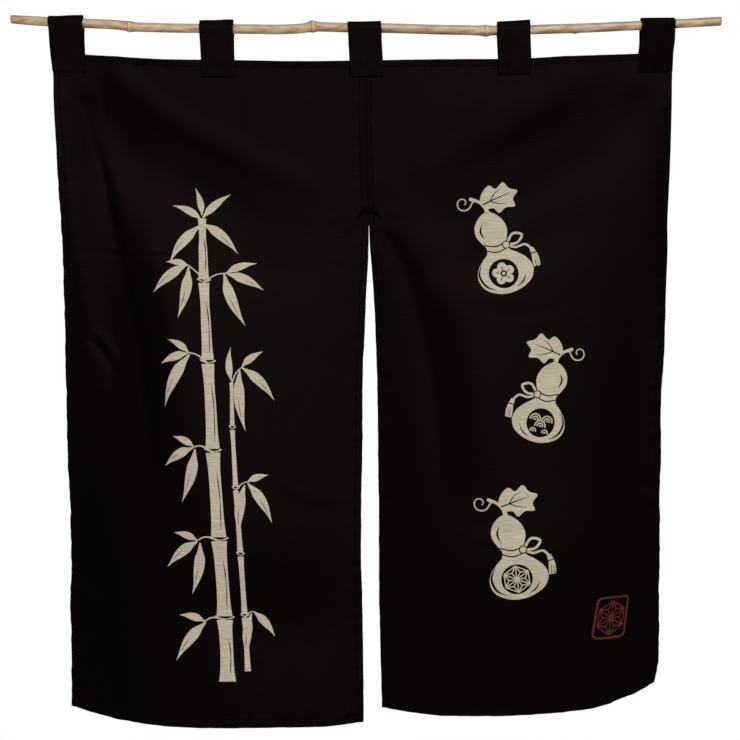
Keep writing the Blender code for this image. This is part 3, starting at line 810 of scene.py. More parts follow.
def hemp_lines(radius):
    """The lines of a hemp-leaf star: a hexagon's spokes, and three short lines in each of its triangles."""
    corners = [
        np.array([radius * math.cos(math.radians(60 * k + 30)), radius * math.sin(math.radians(60 * k + 30))])
        for k in range(6)
    ]
    lines = []
    for k in range(6):
        near, far = corners[k], corners[(k + 1) % 6]
        heart = (near + far) / 3
        lines += [((0, 0), near), (near, far), ((0, 0), heart), (near, heart), (far, heart)]
    return lines


def line_prints(lines, width, ink):
    """Straight lines of even width with square ends."""
    prints = []
    for start, end in lines:
        start, end = np.array(start, float), np.array(end, float)
        prints.append(stroke([start, (start + end) / 2, end], [width] * 3, ink, blunt=True, step=6.0))
    return prints


def gourd_prints(gourd):
    """A bottle gourd on its stalk, with a leaf, a tendril and a tied cord with a tassel."""
    profile = np.array(GOURD_PROFILE)
    right = np.stack([profile[:, 1], profile[:, 0]], axis=1)
    left = (right * (-1, 1))[::-1]
    sides = np.concatenate([right, left])
    sides[:, 0] += 3.0 * np.sin((sides[:, 1] + 12) / 26)
    spiral = [
        (-31 + (11.5 - 2.6 * a) * math.cos(a * 2.0 + 0.4), -77 + (11.5 - 2.6 * a) * math.sin(a * 2.0 + 0.4))
        for a in np.linspace(0, 3.4, 14)
    ]
    prints = [
        stroke([(-1, -54), (-3, -64), (-10, -74), (-20, -80)], [7.0, 4.4, 3.8, 4.6]),
        stroke([(-10, -74), (-16.5, -76.5), *spiral], [2.2, 1.9, 1.8, 1.7, 1.6, 1.4]),
        Print(
            closed_through(
                [(-8, -70), (0, -88), (8, -92), (15, -86), (27, -92), (34, -82), (44, -76), (36, -67)]
                + [(37, -57), (24, -58), (14, -53), (8, -61), (-2, -62)]
            ),
            CREAM,
        ),
        stroke([(-5, -69), (14, -73), (34, -76)], [1.9, 1.5, 0.4], GROUND),
        stroke([(5, -71), (12, -79), (24, -85)], [1.4, 1.1, 0.3], GROUND),
        stroke([(6, -71), (15, -66), (28, -62)], [1.4, 1.1, 0.3], GROUND),
        Print(closed_through(sides), CREAM),
        # shading lines on the two bulbs
        stroke([(-12, -44), (-16, -34), (-13, -23)], [0.4, 2.6, 0.4], GROUND),
        stroke([(-25, 8), (-32, 24), (-27, 40), (-16, 48)], [0.4, 2.6, 2.8, 0.4], GROUND),
        stroke([(29, 36), (22, 45), (12, 50)], [0.4, 2.0, 0.4], GROUND),
        # the cord round the neck, and its bow and tassel
        stroke([(-15, -15.5), (-1, -10.5), (17, -14.5)], [1.5, 1.7, 1.5], GROUND),
        stroke([(-15.5, -8.0), (-1, -2.5), (18, -6.5)], [1.5, 1.7, 1.5], GROUND),
        stroke([(14, -10), (27, -22), (37, -17), (30, -9), (15, -9)], [3.4, 3.2, 3.4, 3.2, 3.2]),
        stroke([(14, -9), (25, -3), (39, -3), (46, 6)], [3.2, 3.0, 3.0, 3.2]),
        stroke([(45, 4), (47, 13), (46.5, 30)], [5.4, 7.6, 9.6, 9.0], blunt=True),
        stroke([(42, 11.5), (50, 11.0)], [1.5, 1.5], GROUND),
        stroke([(46.0, 17), (45.4, 31)], [0.5, 1.4], GROUND),
        stroke([(48.6, 17), (49.4, 31)], [0.4, 1.1], GROUND),
        Print(ring_of((13.5, -9.5), 5.6), GROUND),
        Print(ring_of((13.5, -9.5), 4.2), CREAM),
    ]
    badge = [Print(ring_of((0, 0), ORNAMENT_RADIUS), GROUND)]
    if gourd.ornament == "plum":
        badge += plum_prints()
    elif gourd.ornament == "waves":
        badge += wave_prints()
    else:
        badge += line_prints(hemp_lines(ORNAMENT_RADIUS - 2.2), 1.5, CREAM)
    prints += placed(badge, ORNAMENT_CENTRE)
    if gourd.flip < 0:
        prints = [Print(p.outline * (-1, 1), p.ink) for p in prints]
    return placed(prints, (gourd.across, gourd.down), gourd.tilt, gourd.scale)


SEAL_CENTRE = (757, 783)
SEAL_TILT = 9
SEAL_SIZE = (56, 62)
SEAL_CORNER = 9
SEAL_FRAME = 3.4
SEAL_LINE = 2.0


def rounded_box(width, height, corner):
    steps = np.linspace(0, math.pi / 2, 5)
    outline = []
    for k, (sx, sy) in enumerate(((1, 1), (-1, 1), (-1, -1), (1, -1))):
        centre = np.array([sx * (width / 2 - corner), sy * (height / 2 - corner)])
        turn = steps + k * math.pi / 2
        outline.append(centre + corner * np.stack([np.cos(turn), np.sin(turn)], axis=1))
    return np.concatenate(outline)


def seal_prints():
    """A red stamp with a hemp-leaf star in a rounded frame."""
    width, height = SEAL_SIZE
    inner = (width - 2 * SEAL_FRAME, height - 2 * SEAL_FRAME)
    prints = [
        Print(rounded_box(width, height, SEAL_CORNER), RED),
        Print(rounded_box(*inner, SEAL_CORNER - SEAL_FRAME), GROUND),
    ]
    prints += line_prints(hemp_lines(inner[1] / 2 - 3.0), SEAL_LINE, RED)
    return placed(prints, SEAL_CENTRE, SEAL_TILT)


# ---------------------------------------- finishes
def start_material(name, **shader_inputs):
    material = bpy.data.materials.new(name)
    material.use_nodes = True
    tree = material.node_tree
    shader = tree.nodes["Principled BSDF"]
    for socket, value in shader_inputs.items():
        shader.inputs[socket.replace("_", " ")].default_value = value
    return material, tree, shader


# The weave's sizes in millimetres. The real threads are nearer 0.7 mm apart, which is too fine to show.
WEFT_PITCH = 1.3
WARP_PITCH = 1.1
SLUB_SIZE = (17.0, 1.9)
BLOTCH_SIZE = (60, 34)
YARN_SIZE = (65.0, 1.5)
WEAVE_DEPTH = 0.16 * MM


def cloth_material(name, dark, light, slub_strength, roughness, specular, shine="#FFFFFF"):
    """Plain-woven cloth of slub yarn. Thick places in the weft give it short level streaks, and its threads
    a fine grid. The yarn has a soft broad shine, which is what shows the folds of black cloth. Where its
    darkening attribute is 1 the cloth looks darker and rougher: it lies in several layers, sewn and
    flattened, and the darker colour is partly painted shade, in hems, stitch grooves and along the tabs' ends
    and creases."""
    material, tree, shader = start_material(
        name, Roughness=roughness, Specular_IOR_Level=specular, Specular_Tint=hex_colour(shine)
    )
    uv = add_node(tree, "ShaderNodeUVMap", uv_map="cloth")
    in_mm = add_node(tree, "ShaderNodeMapping", {0: uv.outputs[0], "Scale": (1000, 1000, 1)}).outputs[0]
    noises = []
    for (length, thick), detail in ((SLUB_SIZE, 2.5), (BLOTCH_SIZE, 3.0), (YARN_SIZE, 1.0)):
        scale = (1 / length, 1 / thick, 1)
        place = add_node(tree, "ShaderNodeMapping", {0: in_mm, "Scale": scale}).outputs[0]
        noise = add_node(tree, "ShaderNodeTexNoise", {"Vector": place, "Scale": 1.0, "Detail": detail})
        noises.append(noise.outputs[0])
    slub, blotch, yarn = noises
    slub_range = {"Value": slub, "From Min": 0.36, "From Max": 0.66}
    slub = add_node(tree, "ShaderNodeMapRange", slub_range).outputs[0]
    # Here and there one thick yarn runs on as a thin light line
    yarn_range = {"Value": yarn, "From Min": 0.61, "From Max": 0.69, "To Max": 0.55}
    yarn = add_node(tree, "ShaderNodeMapRange", yarn_range).outputs[0]
    shade = add_node(tree, "ShaderNodeMath", {0: slub, 1: slub_strength}, operation="MULTIPLY").outputs[0]
    blotched = {0: blotch, 1: 1 - slub_strength, 2: shade}
    shade = add_node(tree, "ShaderNodeMath", blotched, operation="MULTIPLY_ADD").outputs[0]
    shade = add_node(tree, "ShaderNodeMath", {0: shade, 1: yarn}, operation="ADD").outputs[0]
    colours = {"Factor": shade, 6: hex_colour(dark), 7: hex_colour(light)}
    colour = add_node(tree, "ShaderNodeMix", colours, data_type="RGBA").outputs[2]
    pressed = add_node(tree, "ShaderNodeAttribute", attribute_name="pressed").outputs["Fac"]
    tones = {"Factor": pressed, 6: colour, 7: hex_colour(dark)}
    toned = add_node(tree, "ShaderNodeMix", tones, data_type="RGBA")
    tree.links.new(toned.outputs[2], shader.inputs["Base Color"])
    spread = add_node(tree, "ShaderNodeMapRange", {"Value": pressed, "To Min": roughness, "To Max": 1.0})
    tree.links.new(spread.outputs[0], shader.inputs["Roughness"])
    waves = []
    for pitch, uneven, way in ((WEFT_PITCH, 1.2, "Y"), (WARP_PITCH, 0.8, "X")):
        # a wave texture repeats every pi / 10 of its scaled place
        wave = {"Vector": in_mm, "Scale": math.pi / 10 / pitch, "Distortion": uneven, "Detail Scale": 0.4}
        waves.append(add_node(tree, "ShaderNodeTexWave", wave, bands_direction=way).outputs[1])
    threads = add_node(tree, "ShaderNodeMath", {0: waves[0], 1: waves[1]}, operation="ADD").outputs[0]
    raised = {0: slub, 1: 1.6, 2: threads}
    height = add_node(tree, "ShaderNodeMath", raised, operation="MULTIPLY_ADD").outputs[0]
    bump = add_node(tree, "ShaderNodeBump", {"Height": height, "Strength": 0.5, "Distance": WEAVE_DEPTH})
    tree.links.new(bump.outputs[0], shader.inputs["Normal"])
    return material


def thread_material(name, colour, roughness, specular):
    """Spun polyester sewing thread: dyed black, with a faint shine along its twist."""
    material, tree, shader = start_material(
        name, Base_Color=hex_colour(colour), Roughness=roughness, Specular_IOR_Level=specular
    )
    place = add_node(tree, "ShaderNodeTexCoord").outputs["Object"]
    twist = add_node(tree, "ShaderNodeTexNoise", {"Vector": place, "Scale": 2500.0, "Detail": 1.0})
    twisted = {"Height": twist.outputs[0], "Strength": 0.4, "Distance": 0.1 * MM}
    bump = add_node(tree, "ShaderNodeBump", twisted)
    tree.links.new(bump.outputs[0], shader.inputs["Normal"])
    return material


def bamboo_material():
    """Dried bamboo skin: straw-coloured with pink-brown patches, long fine fibres and a soft waxy shine.
    Three attributes turn it pale at the rings of its joints, brown at its scars, and darker as painted shade:
    grey on top, and brown along its underside."""
    material, tree, shader = start_material("dried bamboo cane", Roughness=0.42, Specular_IOR_Level=0.4)
    object_place = add_node(tree, "ShaderNodeTexCoord").outputs["Object"]
    noises = []
    for stretch, detail in (((42, 150, 150), 4.0), ((30, 1400, 1400), 3.0)):
        place = add_node(tree, "ShaderNodeMapping", {0: object_place, "Scale": stretch}).outputs[0]
        noise = add_node(tree, "ShaderNodeTexNoise", {"Vector": place, "Scale": 1.0, "Detail": detail})
        noises.append(noise.outputs[0])
    patch, fibre = noises
    patches = add_node(tree, "ShaderNodeValToRGB", {"Fac": patch})
    ramp = patches.color_ramp
    ramp.elements.new(0.47)
    for element, place, colour in zip(ramp.elements, (0.34, 0.47, 0.68), ("#B58868", "#D5B690", "#E3D3B1")):
        element.position = place
        element.color = hex_colour(colour)
    grain = {"Value": fibre, "From Min": 0.35, "From Max": 0.65, "To Min": 0.74, "To Max": 1.08}
    grain = add_node(tree, "ShaderNodeMapRange", grain).outputs[0]
    grained = {"Factor": 1.0, 6: patches.outputs[0], 7: grain}
    colour = add_node(tree, "ShaderNodeMix", grained, data_type="RGBA", blend_type="MULTIPLY").outputs[2]
    for name, tint in (("grey", "#857868"), ("scar", "#6E4B2E"), ("pale", "#E2D3AC")):
        amount = add_node(tree, "ShaderNodeAttribute", attribute_name=name).outputs["Fac"]
        tinted = {"Factor": amount, 6: colour, 7: hex_colour(tint)}
        colour = add_node(tree, "ShaderNodeMix", tinted, data_type="RGBA").outputs[2]
    tree.links.new(colour, shader.inputs["Base Color"])
    bump = add_node(tree, "ShaderNodeBump", {"Height": fibre, "Strength": 0.35, "Distance": 0.12 * MM})
    tree.links.new(bump.outputs[0], shader.inputs["Normal"])
    return material


CLOTH = cloth_material("black slub cloth", "#030201", "#050302", 0.55, 0.66, 0.152, "#FFC7CB")
CREAM_INK = cloth_material("cream pigment print on slub cloth", "#A79D87", "#C9BEA8", 0.6, 0.85, 0.10)
RED_INK = cloth_material("red pigment print on slub cloth", "#401716", "#6A302E", 0.6, 0.85, 0.08)
THREAD = thread_material("black sewing thread", "#070506", 0.75, 0.10)
TACK_THREAD = thread_material("black satin-stitch thread", "#020305", 0.50, 0.09)
BAMBOO = bamboo_material()


# ---------------------------------------- panels
def side_places(length, near, far):
    """Places along one side of a panel, closer together over its hems."""
    fine = [0.0, 0.9 * MM, 2.4 * MM]

    def over(hem):
        marks = (-1.8, -0.9, 0.0, 0.9, 1.8)
        return fine + [hem.stitch + m * MM for m in marks] + [hem.width - 0.4 * MM, hem.width + 0.7 * MM]

    first = over(near)
    last = [length - place for place in over(far)]
    inner_start, inner_end = first[-1] + 2 * MM, min(last) - 2 * MM
    count = int((inner_end - inner_start) / CLOTH_SPACING)
    every = np.sort(np.concatenate([first, last, np.linspace(inner_start, inner_end, count + 1)]))
    keep = np.r_[True, np.diff(every) > 0.35 * MM]
    return every[keep]


def inside(outline, points):
    """Which points lie inside a closed outline, by counting the edges crossed on the way out."""
    x, y = points.T
    crossings = np.zeros(len(points), int)
    for (x0, y0), (x1, y1) in zip(outline, np.roll(outline, -1, axis=0)):
        if y0 != y1:
            meets = (y0 > y) != (y1 > y)
            at = x0 + (y[meets] - y0) * (x1 - x0) / (y1 - y0)
            crossings[meets] += at > x[meets]
    return crossings % 2 == 1


def cut_flat(surface, prints):
    """The flat panel as places in metres, triangles and the ink of each triangle, cut along the prints'
    outlines."""
    hems = [hem for hem, _ in hems_of(surface)]
    across = surface.left + side_places(surface.width, hems[0], hems[1])
    down = side_places(CLOTH_LENGTH, hems[2], hems[3])
    grid = np.stack(np.meshgrid(across, down), axis=-1).reshape(-1, 2) / MM
    edges = []
    outline_places = []
    for drawn in prints:
        first = len(outline_places)
        outline_places.extend(drawn.outline)
        count = len(drawn.outline)
        edges += [(first + k, first + (k + 1) % count) for k in range(count)]
    if outline_places:
        tree = KDTree(len(outline_places))
        for number, place in enumerate(outline_places):
            tree.insert((*place, 0), number)
        tree.balance()
        clear = [tree.find((*place, 0))[2] > OUTLINE_CLEARANCE / MM for place in grid]
        grid = grid[clear]
    places = [Vector(p) for p in outline_places] + [Vector(p) for p in grid]
    verts, _, faces, *_ = delaunay_2d_cdt(places, edges, [], 0, 1e-4)
    verts = np.array(verts)
    faces = np.array(faces)
    a, b, c = (verts[faces[:, k]] for k in range(3))
    turn = (b - a)[:, 0] * (c - a)[:, 1] - (b - a)[:, 1] * (c - a)[:, 0]
    faces = faces[np.abs(turn) > 1e-5]
    turn = turn[np.abs(turn) > 1e-5]
    faces[turn > 0] = faces[turn > 0][:, ::-1]  # clockwise with down as y, so the faces look out of the front
    hearts = verts[faces].mean(axis=1)
    ink = np.zeros(len(faces), int)
    for drawn in prints:
        low, high = drawn.outline.min(0), drawn.outline.max(0)
        near = np.flatnonzero(((hearts > low) & (hearts < high)).all(axis=1))
        ink[near[inside(drawn.outline, hearts[near])]] = drawn.ink
    return verts * MM, faces, ink


def rim_edges(faces):
    """The directed edges that only one triangle has."""
    every = np.concatenate([faces[:, [0, 1]], faces[:, [1, 2]], faces[:, [2, 0]]])
    keys = np.sort(every, axis=1)
    _, where, counts = np.unique(keys, axis=0, return_index=True, return_counts=True)
    return every[where[counts == 1]]


def build_panel(name, surface, prints):
    """One panel as a closed sheet: a printed front, a plain back with its hems, and a rounded edge."""
    places, faces, ink = cut_flat(surface, prints)
    across, down = places.T
    points, right_way, down_way, outward = read_surface(surface, across, down)
    front_rise, back_rise = front_and_back(surface, across, down)
    front = points + outward * front_rise[:, None]
    back = points + outward * back_rise[:, None]
    rim = rim_edges(faces)
    rim_places = np.unique(rim)
    right_end = surface.left + surface.width
    reach = 0.3 * MM
    rim_across, rim_down = across[rim_places], down[rim_places]
    aside = (rim_across > right_end - reach).astype(float) - (rim_across < surface.left + reach)
    below = (rim_down > CLOTH_LENGTH - reach).astype(float) - (rim_down < reach)
    out = unit(right_way[rim_places] * aside[:, None] + down_way[rim_places] * below[:, None])
    thick = (front_rise - back_rise)[rim_places]
    # The two inner edges just meet, so there the cloth draws back before it rounds over, here less and
    # there more
    meet = SEAM_MEET * (1 - smooth_step(rim_down, SEAM_LENGTH - 2 * MM, SEAM_LENGTH + 3 * MM))
    drawn_back = np.where(aside == -surface.side, EDGE_ROUND * thick - meet, 0)
    inwards = -right_way[rim_places] * (aside * drawn_back)[:, None]
    front[rim_places] += inwards * stitch_depth(surface, 4, rim_down, rim_down)[:, None]
    back[rim_places] += inwards
    middle = points[rim_places] + outward[rim_places] * ((front_rise + back_rise) / 2)[rim_places][:, None]
    bulge = middle + inwards + out * (EDGE_ROUND * thick)[:, None]
    item = add_sheet(
        name, front, back, bulge, faces, rim_places, rim[:, ::-1], places, (CLOTH, CREAM_INK, RED_INK)
    )
    slots = np.zeros(len(item.data.polygons), np.int32)
    slots[: len(faces)] = ink
    item.data.polygons.foreach_set("material_index", slots)
    # Painted shade: the hems are painted darker, partly for their layers, and the stitch lines darker still
    # where they sink in
    pressed = np.zeros(len(across))
    for number, (hem, distance) in enumerate(hems_of(surface)):
        from_edge = distance(across, down)
        in_hem = 1 - smooth_step(from_edge, 0.3 * hem.stitch, hem.stitch + MM)
        pressed = np.maximum(pressed, hem.pressed * in_hem)
        groove = bell(from_edge - hem.stitch, GROOVE_REACH)
        depth = stitch_depth(surface, number, across, down)
        pressed = np.maximum(pressed, groove * (GROOVE_SHADE + GROOVE_MORE_SHADE * depth))
    set_values(item, "pressed", on_sheet(pressed, rim_places))
    return item


# ---------------------------------------- tabs
def pole_at(x):
    """The height of the cane's axis and its radius at x, without the swelling of its joints."""
    line = np.array(POLE_LINE)
    return [smooth_curve(line[:, 0], line[:, k], x) for k in (1, 2)]


def arc(centre, radius, start, end, steps):
    angles = np.linspace(start, end, steps + 1)
    return np.stack([centre[0] + radius * np.cos(angles), centre[1] + radius * np.sin(angles)], axis=1)


def loop_half(side, leg, centre, radius, crease):
    """One half of a tab's loop as (y, z) points, from the cloth's edge up to the crease. side is -1 for the
    front."""
    away = np.array([(leg[0] - centre[0]) * side, leg[1] - centre[1]])
    lowest = math.atan2(away[1], away[0]) + math.acos(radius / np.linalg.norm(away))
    height = radius + max(crease, LEAST_CREASE)
    lean = math.acos(radius / height)
    round_pole = arc((0, 0), radius, lowest, math.pi / 2 - lean, TAB_ROUND_STEPS)
    crease_centre = (0, height - TAB_CREASE_RADIUS / math.cos(lean))
    over_crease = arc(crease_centre, TAB_CREASE_RADIUS, math.pi / 2 - lean, math.pi / 2, TAB_CREASE_STEPS)
    local = np.concatenate([round_pole, over_crease])
    return np.stack([centre[0] + side * local[:, 0], centre[1] + local[:, 1]], axis=1)


# From the cloth's middle to the tab's, at the cloth's edge and at the tab's end, in front and behind
TAB_STANDS = {-1: (2.3 * MM, 1.30 * MM), 1: (2.5 * MM, 2.0 * MM)}
LEG_ROWS = 14


def tab_section(tab, share, surfaces):
    """The loop's middle line at one place across the tab, from the front end over the pole to the back
    end."""
    across = tab.across + (share - 0.5) * TAB_WIDTH
    surface = surfaces[0] if across < SEAM_ACROSS else surfaces[1]
    downs = np.linspace(tab.overlap, 0, TAB_SEWN_ROWS)
    points, _, _, outward = read_surface(surface, np.full(TAB_SEWN_ROWS, across), downs)
    edge = points[-1]
    pole_z, pole_radius = pole_at(edge[0] + tab.lean)
    radius = pole_radius + FIT_GAP + TAB_THICK / 2
    crease = tab.crease + tab.climb * (share - 0.5) - FIT_GAP - TAB_THICK / 2
    halves = []
    for side in (-1, 1):
        at_edge, at_end = TAB_STANDS[side]
        stand = at_end + (at_edge - at_end) * smooth_step(np.linspace(0, 1, TAB_SEWN_ROWS), 0.15, 1.0)
        sewn = points - side * outward * stand[:, None]
        leg = sewn[-1, 1:] + (0, 0.001)
        loop = loop_half(side, leg, (0.0, pole_z), radius, crease)
        rise = np.linspace(0, 1, LEG_ROWS + 1)[1:-1, None]
        straight = leg + (loop[0] - leg) * rise
        loop = np.concatenate([straight, loop])
        climb = np.clip((loop[:, 1] - leg[1]) / (pole_z - leg[1]), 0, 1)
        halves.append(np.concatenate([sewn, np.column_stack([edge[0] + tab.lean * climb, loop])]))
    return np.concatenate([halves[0], halves[1][-2::-1]])


def border_of(rows, columns):
    """The numbers of a grid's outer points, once round."""
    index = np.arange(rows * columns).reshape(rows, columns)
    return np.concatenate([index[0, :-1], index[:-1, -1], index[-1, :0:-1], index[:0:-1, 0]])


def sheet_over(name, grid, thick, flat, material):
    """A sheet of even thickness with rounded edges over a grid of points. flat gives each point as cut."""
    rows, columns = grid.shape[:2]
    row_way, column_way = unit(np.gradient(grid, axis=0)), unit(np.gradient(grid, axis=1))
    middle = grid.reshape(-1, 3)
    rise = (unit(np.cross(row_way, column_way)) * thick / 2).reshape(-1, 3)
    index = np.arange(rows * columns).reshape(rows, columns)
    quads = np.stack([index[:-1, :-1], index[1:, :-1], index[1:, 1:], index[:-1, 1:]], axis=-1).reshape(-1, 4)
    border = border_of(rows, columns)
    out = np.zeros((rows, columns, 3))
    out[0] -= row_way[0]
    out[-1] += row_way[-1]
    out[:, 0] -= column_way[:, 0]
    out[:, -1] += column_way[:, -1]
    bulge = middle[border] + unit(out.reshape(-1, 3)[border]) * TAB_EDGE_ROUND * thick
    pairs = np.stack([border, np.roll(border, -1)], axis=1)
    flat = flat.reshape(-1, 2)
    return add_sheet(name, middle + rise, middle - rise, bulge, quads, border, pairs, flat, (material,))


def build_tab(number, tab, surfaces):
    """One tab: doubled cloth, flattened and looped over the pole, a little uneven down its sides."""
    shares = np.linspace(0, 1, TAB_COLUMNS + 1)
    grid = np.stack([tab_section(tab, share, surfaces) for share in shares], axis=1)
    lengths = np.linalg.norm(np.diff(grid[:, 0], axis=0), axis=1)
    along = np.r_[0, np.cumsum(lengths)]
    flat = np.stack(np.meshgrid(tab.across + (shares - 0.5) * TAB_WIDTH, TAB_WEAVE_FROM - along), axis=-1)
    normal = unit(np.cross(np.gradient(grid, axis=0), np.gradient(grid, axis=1)))
    loose = np.sin(math.pi * np.clip((along - tab.overlap) / (along[-1] - 2 * tab.overlap), 0, 1)) ** 0.5
    wave = uneven_wave(along[:, None] / 0.0062 + 2.2 * number) * uneven_wave(shares[None, :] * 7 + number)
    grid = grid + normal * (TAB_WAVE_HEIGHT * wave * loose[:, None])[..., None]
    sideways = TAB_SIDE_WANDER * uneven_wave(along / 0.011 + 3 * number)
    grid[..., 0] += sideways[:, None] * loose[:, None]
    from_end = np.minimum(along, along[-1] - along)
    high = smooth_step(from_end, 0.2 * along[-1], 0.5 * along[-1])
    left_in = tab.left_low + (tab.left_high - tab.left_low) * high
    right_in = tab.right_low + (tab.right_high - tab.right_low) * high
    grid[..., 0] += left_in[:, None] * (1 - shares) - right_in[:, None] * shares
    item = sheet_over(f"tab_{number}_cloth", grid, TAB_THICK, flat, CLOTH)
    # Painted shade: each tab is painted a little darker or lighter, and darker where it is sewn down, along
    # its ends and over the crease. Streaks and blots from pressing make it uneven.
    on_cloth = 1 - smooth_step(from_end, tab.overlap - 1.5 * MM, tab.overlap + 2.5 * MM)
    streaks = uneven_wave(shares * 11 + 2.6 * number + 0.5 * np.sin(along[:, None] / 0.013))
    blots = uneven_wave(along[:, None] / 0.0055 + shares * 5 + number)
    pressed = tab.pressed + TAB_END_SHADE * on_cloth[:, None] + 0.16 * streaks + 0.14 * blots
    rims = (bell(from_end, 2.6 * MM), bell(along[-1] / 2 - from_end, 3.4 * MM))
    for rim in rims:
        pressed = np.maximum(pressed, TAB_RIM_SHADE * rim[:, None])
    set_values(item, "pressed", on_sheet(np.clip(pressed, 0, 1).ravel(), border_of(*grid.shape[:2])))
    return item, grid, along[-1]


# ---------------------------------------- stitching
def new_tree(name, sizes):
    """A geometry tree that turns a mesh of lines into curves: the tree, its named sizes and the curves."""
    tree = bpy.data.node_groups.new(name, "GeometryNodeTree")
    tree.interface.new_socket("Lines", in_out="INPUT", socket_type="NodeSocketGeometry")
    for size in sizes:
        tree.interface.new_socket(size, in_out="INPUT", socket_type="NodeSocketFloat")
    tree.interface.new_socket("Mesh", in_out="OUTPUT", socket_type="NodeSocketGeometry")
    given = add_node(tree, "NodeGroupInput").outputs
    return tree, given, add_node(tree, "GeometryNodeMeshToCurve", {"Mesh": given["Lines"]}).outputs[0]


def end_tree(tree, shape, material):
    """Makes a tree's instances real, smooths them, gives them their material and passes them out."""
    real = add_node(tree, "GeometryNodeRealizeInstances", {0: shape.outputs[0]}).outputs[0]
    smooth = add_node(tree, "GeometryNodeSetShadeSmooth", {"Geometry": real, "Shade Smooth": True}).outputs[0]
    finished = add_node(tree, "GeometryNodeSetMaterial", {"Geometry": smooth, "Material": material})
    add_node(tree, "NodeGroupOutput", {0: finished.outputs[0]})
    return tree


def stitch_tree(material):
    """Runs of machine stitches: short threads, each dipping into the cloth at both ends."""
    tree, given, lines = new_tree("machine stitches", ("Pitch", "Stitch length", "Thread"))
    spacing = {"Curve": lines, "Length": given["Pitch"]}
    spaced = add_node(tree, "GeometryNodeResampleCurve", spacing, mode="LENGTH")
    thread = add_node(tree, "GeometryNodeMeshUVSphere", {"Segments": 6, "Rings": 5, "Radius": 0.5})
    sizes = {0: given["Stitch length"], 1: given["Thread"], 2: given["Thread"]}
    size = add_node(tree, "ShaderNodeCombineXYZ", sizes).outputs[0]
    lengths = {2: 0.86, 3: 1.06, "Seed": 3}
    uneven = add_node(tree, "FunctionNodeRandomValue", lengths, data_type="FLOAT").outputs[1]
    scale = add_node(tree, "ShaderNodeVectorMath", {0: size, "Scale": uneven}, operation="SCALE")
    tangent = add_node(tree, "GeometryNodeInputTangent")
    turn = add_node(tree, "FunctionNodeAlignRotationToVector", {"Vector": tangent.outputs[0]}, axis="X")
    copies = {"Points": spaced, "Instance": thread, "Rotation": turn, "Scale": scale}
    copies = {name: node.outputs[0] for name, node in copies.items()}
    return end_tree(tree, add_node(tree, "GeometryNodeInstanceOnPoints", copies), material)


def satin_tree(material):
    """Threads laid side by side: each line becomes a round thread with closed ends."""
    tree, given, lines = new_tree("satin threads", ("Thread",))
    half = add_node(tree, "ShaderNodeMath", {0: given["Thread"], 1: 0.5}, operation="MULTIPLY").outputs[0]
    circle = add_node(tree, "GeometryNodeCurvePrimitiveCircle", {"Resolution": 7, "Radius": half}).outputs[0]
    swept = {"Curve": lines, "Profile Curve": circle, "Fill Caps": True}
    return end_tree(tree, add_node(tree, "GeometryNodeCurveToMesh", swept), material)


def grow(name, lines, tree, sizes):
    """Runs a geometry tree over a set of lines and keeps its result as a plain mesh."""
    verts = np.concatenate(lines)
    starts = np.cumsum([0] + [len(line) for line in lines])
    edges = [(k, k + 1) for a, b in zip(starts, starts[1:]) for k in range(a, b - 1)]
    mesh = bpy.data.meshes.new(name + "_lines")
    mesh.from_pydata([tuple(v) for v in verts], edges, [])
    guide = bpy.data.objects.new(name + "_lines", mesh)
    bpy.context.scene.collection.objects.link(guide)
    modifier = guide.modifiers.new("Grow", "NODES")
    modifier.node_group = tree
    sockets = {s.name: s.identifier for s in tree.interface.items_tree if s.in_out == "INPUT"}
    for size, value in sizes.items():
        modifier[sockets[size]] = value
    bpy.context.view_layer.update()
    evaluated = guide.evaluated_get(bpy.context.evaluated_depsgraph_get())
    grown = bpy.data.meshes.new_from_object(evaluated)
    grown.name = name
    bpy.data.objects.remove(guide, do_unlink=True)
    item = bpy.data.objects.new(name, grown)
    bpy.context.scene.collection.objects.link(item)
    return item


STITCH_SIZES = {"Pitch": STITCH_PITCH, "Stitch length": STITCH_LENGTH, "Thread": THREAD_THICK}
LINE_STEP = 1.5 * MM
STITCH_WANDER = 0.35 * MM
STITCH_RISE = 0.10 * MM  # from the cloth's face to the middle of the thread
TAB_STITCH_RISE = 0.08 * MM
TAB_STITCH_INSET = 2  # columns of points from a tab's side
TAB_STITCH_FROM_END = 3 * MM


def cloth_line(surface, start, end, face):
    """A line of points just on the front (1) or back (-1) of the cloth, between two places on it."""
    steps = max(int(math.hypot(end[0] - start[0], end[1] - start[1]) / LINE_STEP), 1)
    t = np.linspace(0, 1, steps + 1)
    across, down = start[0] + (end[0] - start[0]) * t, start[1] + (end[1] - start[1]) * t
    wander = STITCH_WANDER * uneven_wave((across + down) / 0.031 + start[0] * 90)
    if abs(end[0] - start[0]) > abs(end[1] - start[1]):
        down = down + wander
    else:
        across = across + wander
    points, _, _, outward = read_surface(surface, across, down)
    front, back = front_and_back(surface, across, down)
    rise = front + STITCH_RISE if face > 0 else back - STITCH_RISE
    return points + outward * rise[:, None]


def panel_stitches(surface):
    """The stitch lines of one panel's four hems, in front and behind."""
    (left_hem, _), (right_hem, _), _, _ = hems_of(surface)
    first, last = surface.left, surface.left + surface.width
    lines = []
    for across in (first + left_hem.stitch, last - right_hem.stitch):
        lines.append(((across, 1.5 * MM), (across, CLOTH_LENGTH - 1.5 * MM)))
    for down in (TOP_HEM.stitch, CLOTH_LENGTH - BOTTOM_HEM.stitch):
        lines.append(((first + MM, down), (last - MM, down)))
    return [cloth_line(surface, *line, face) for line in lines for face in (1, -1)]


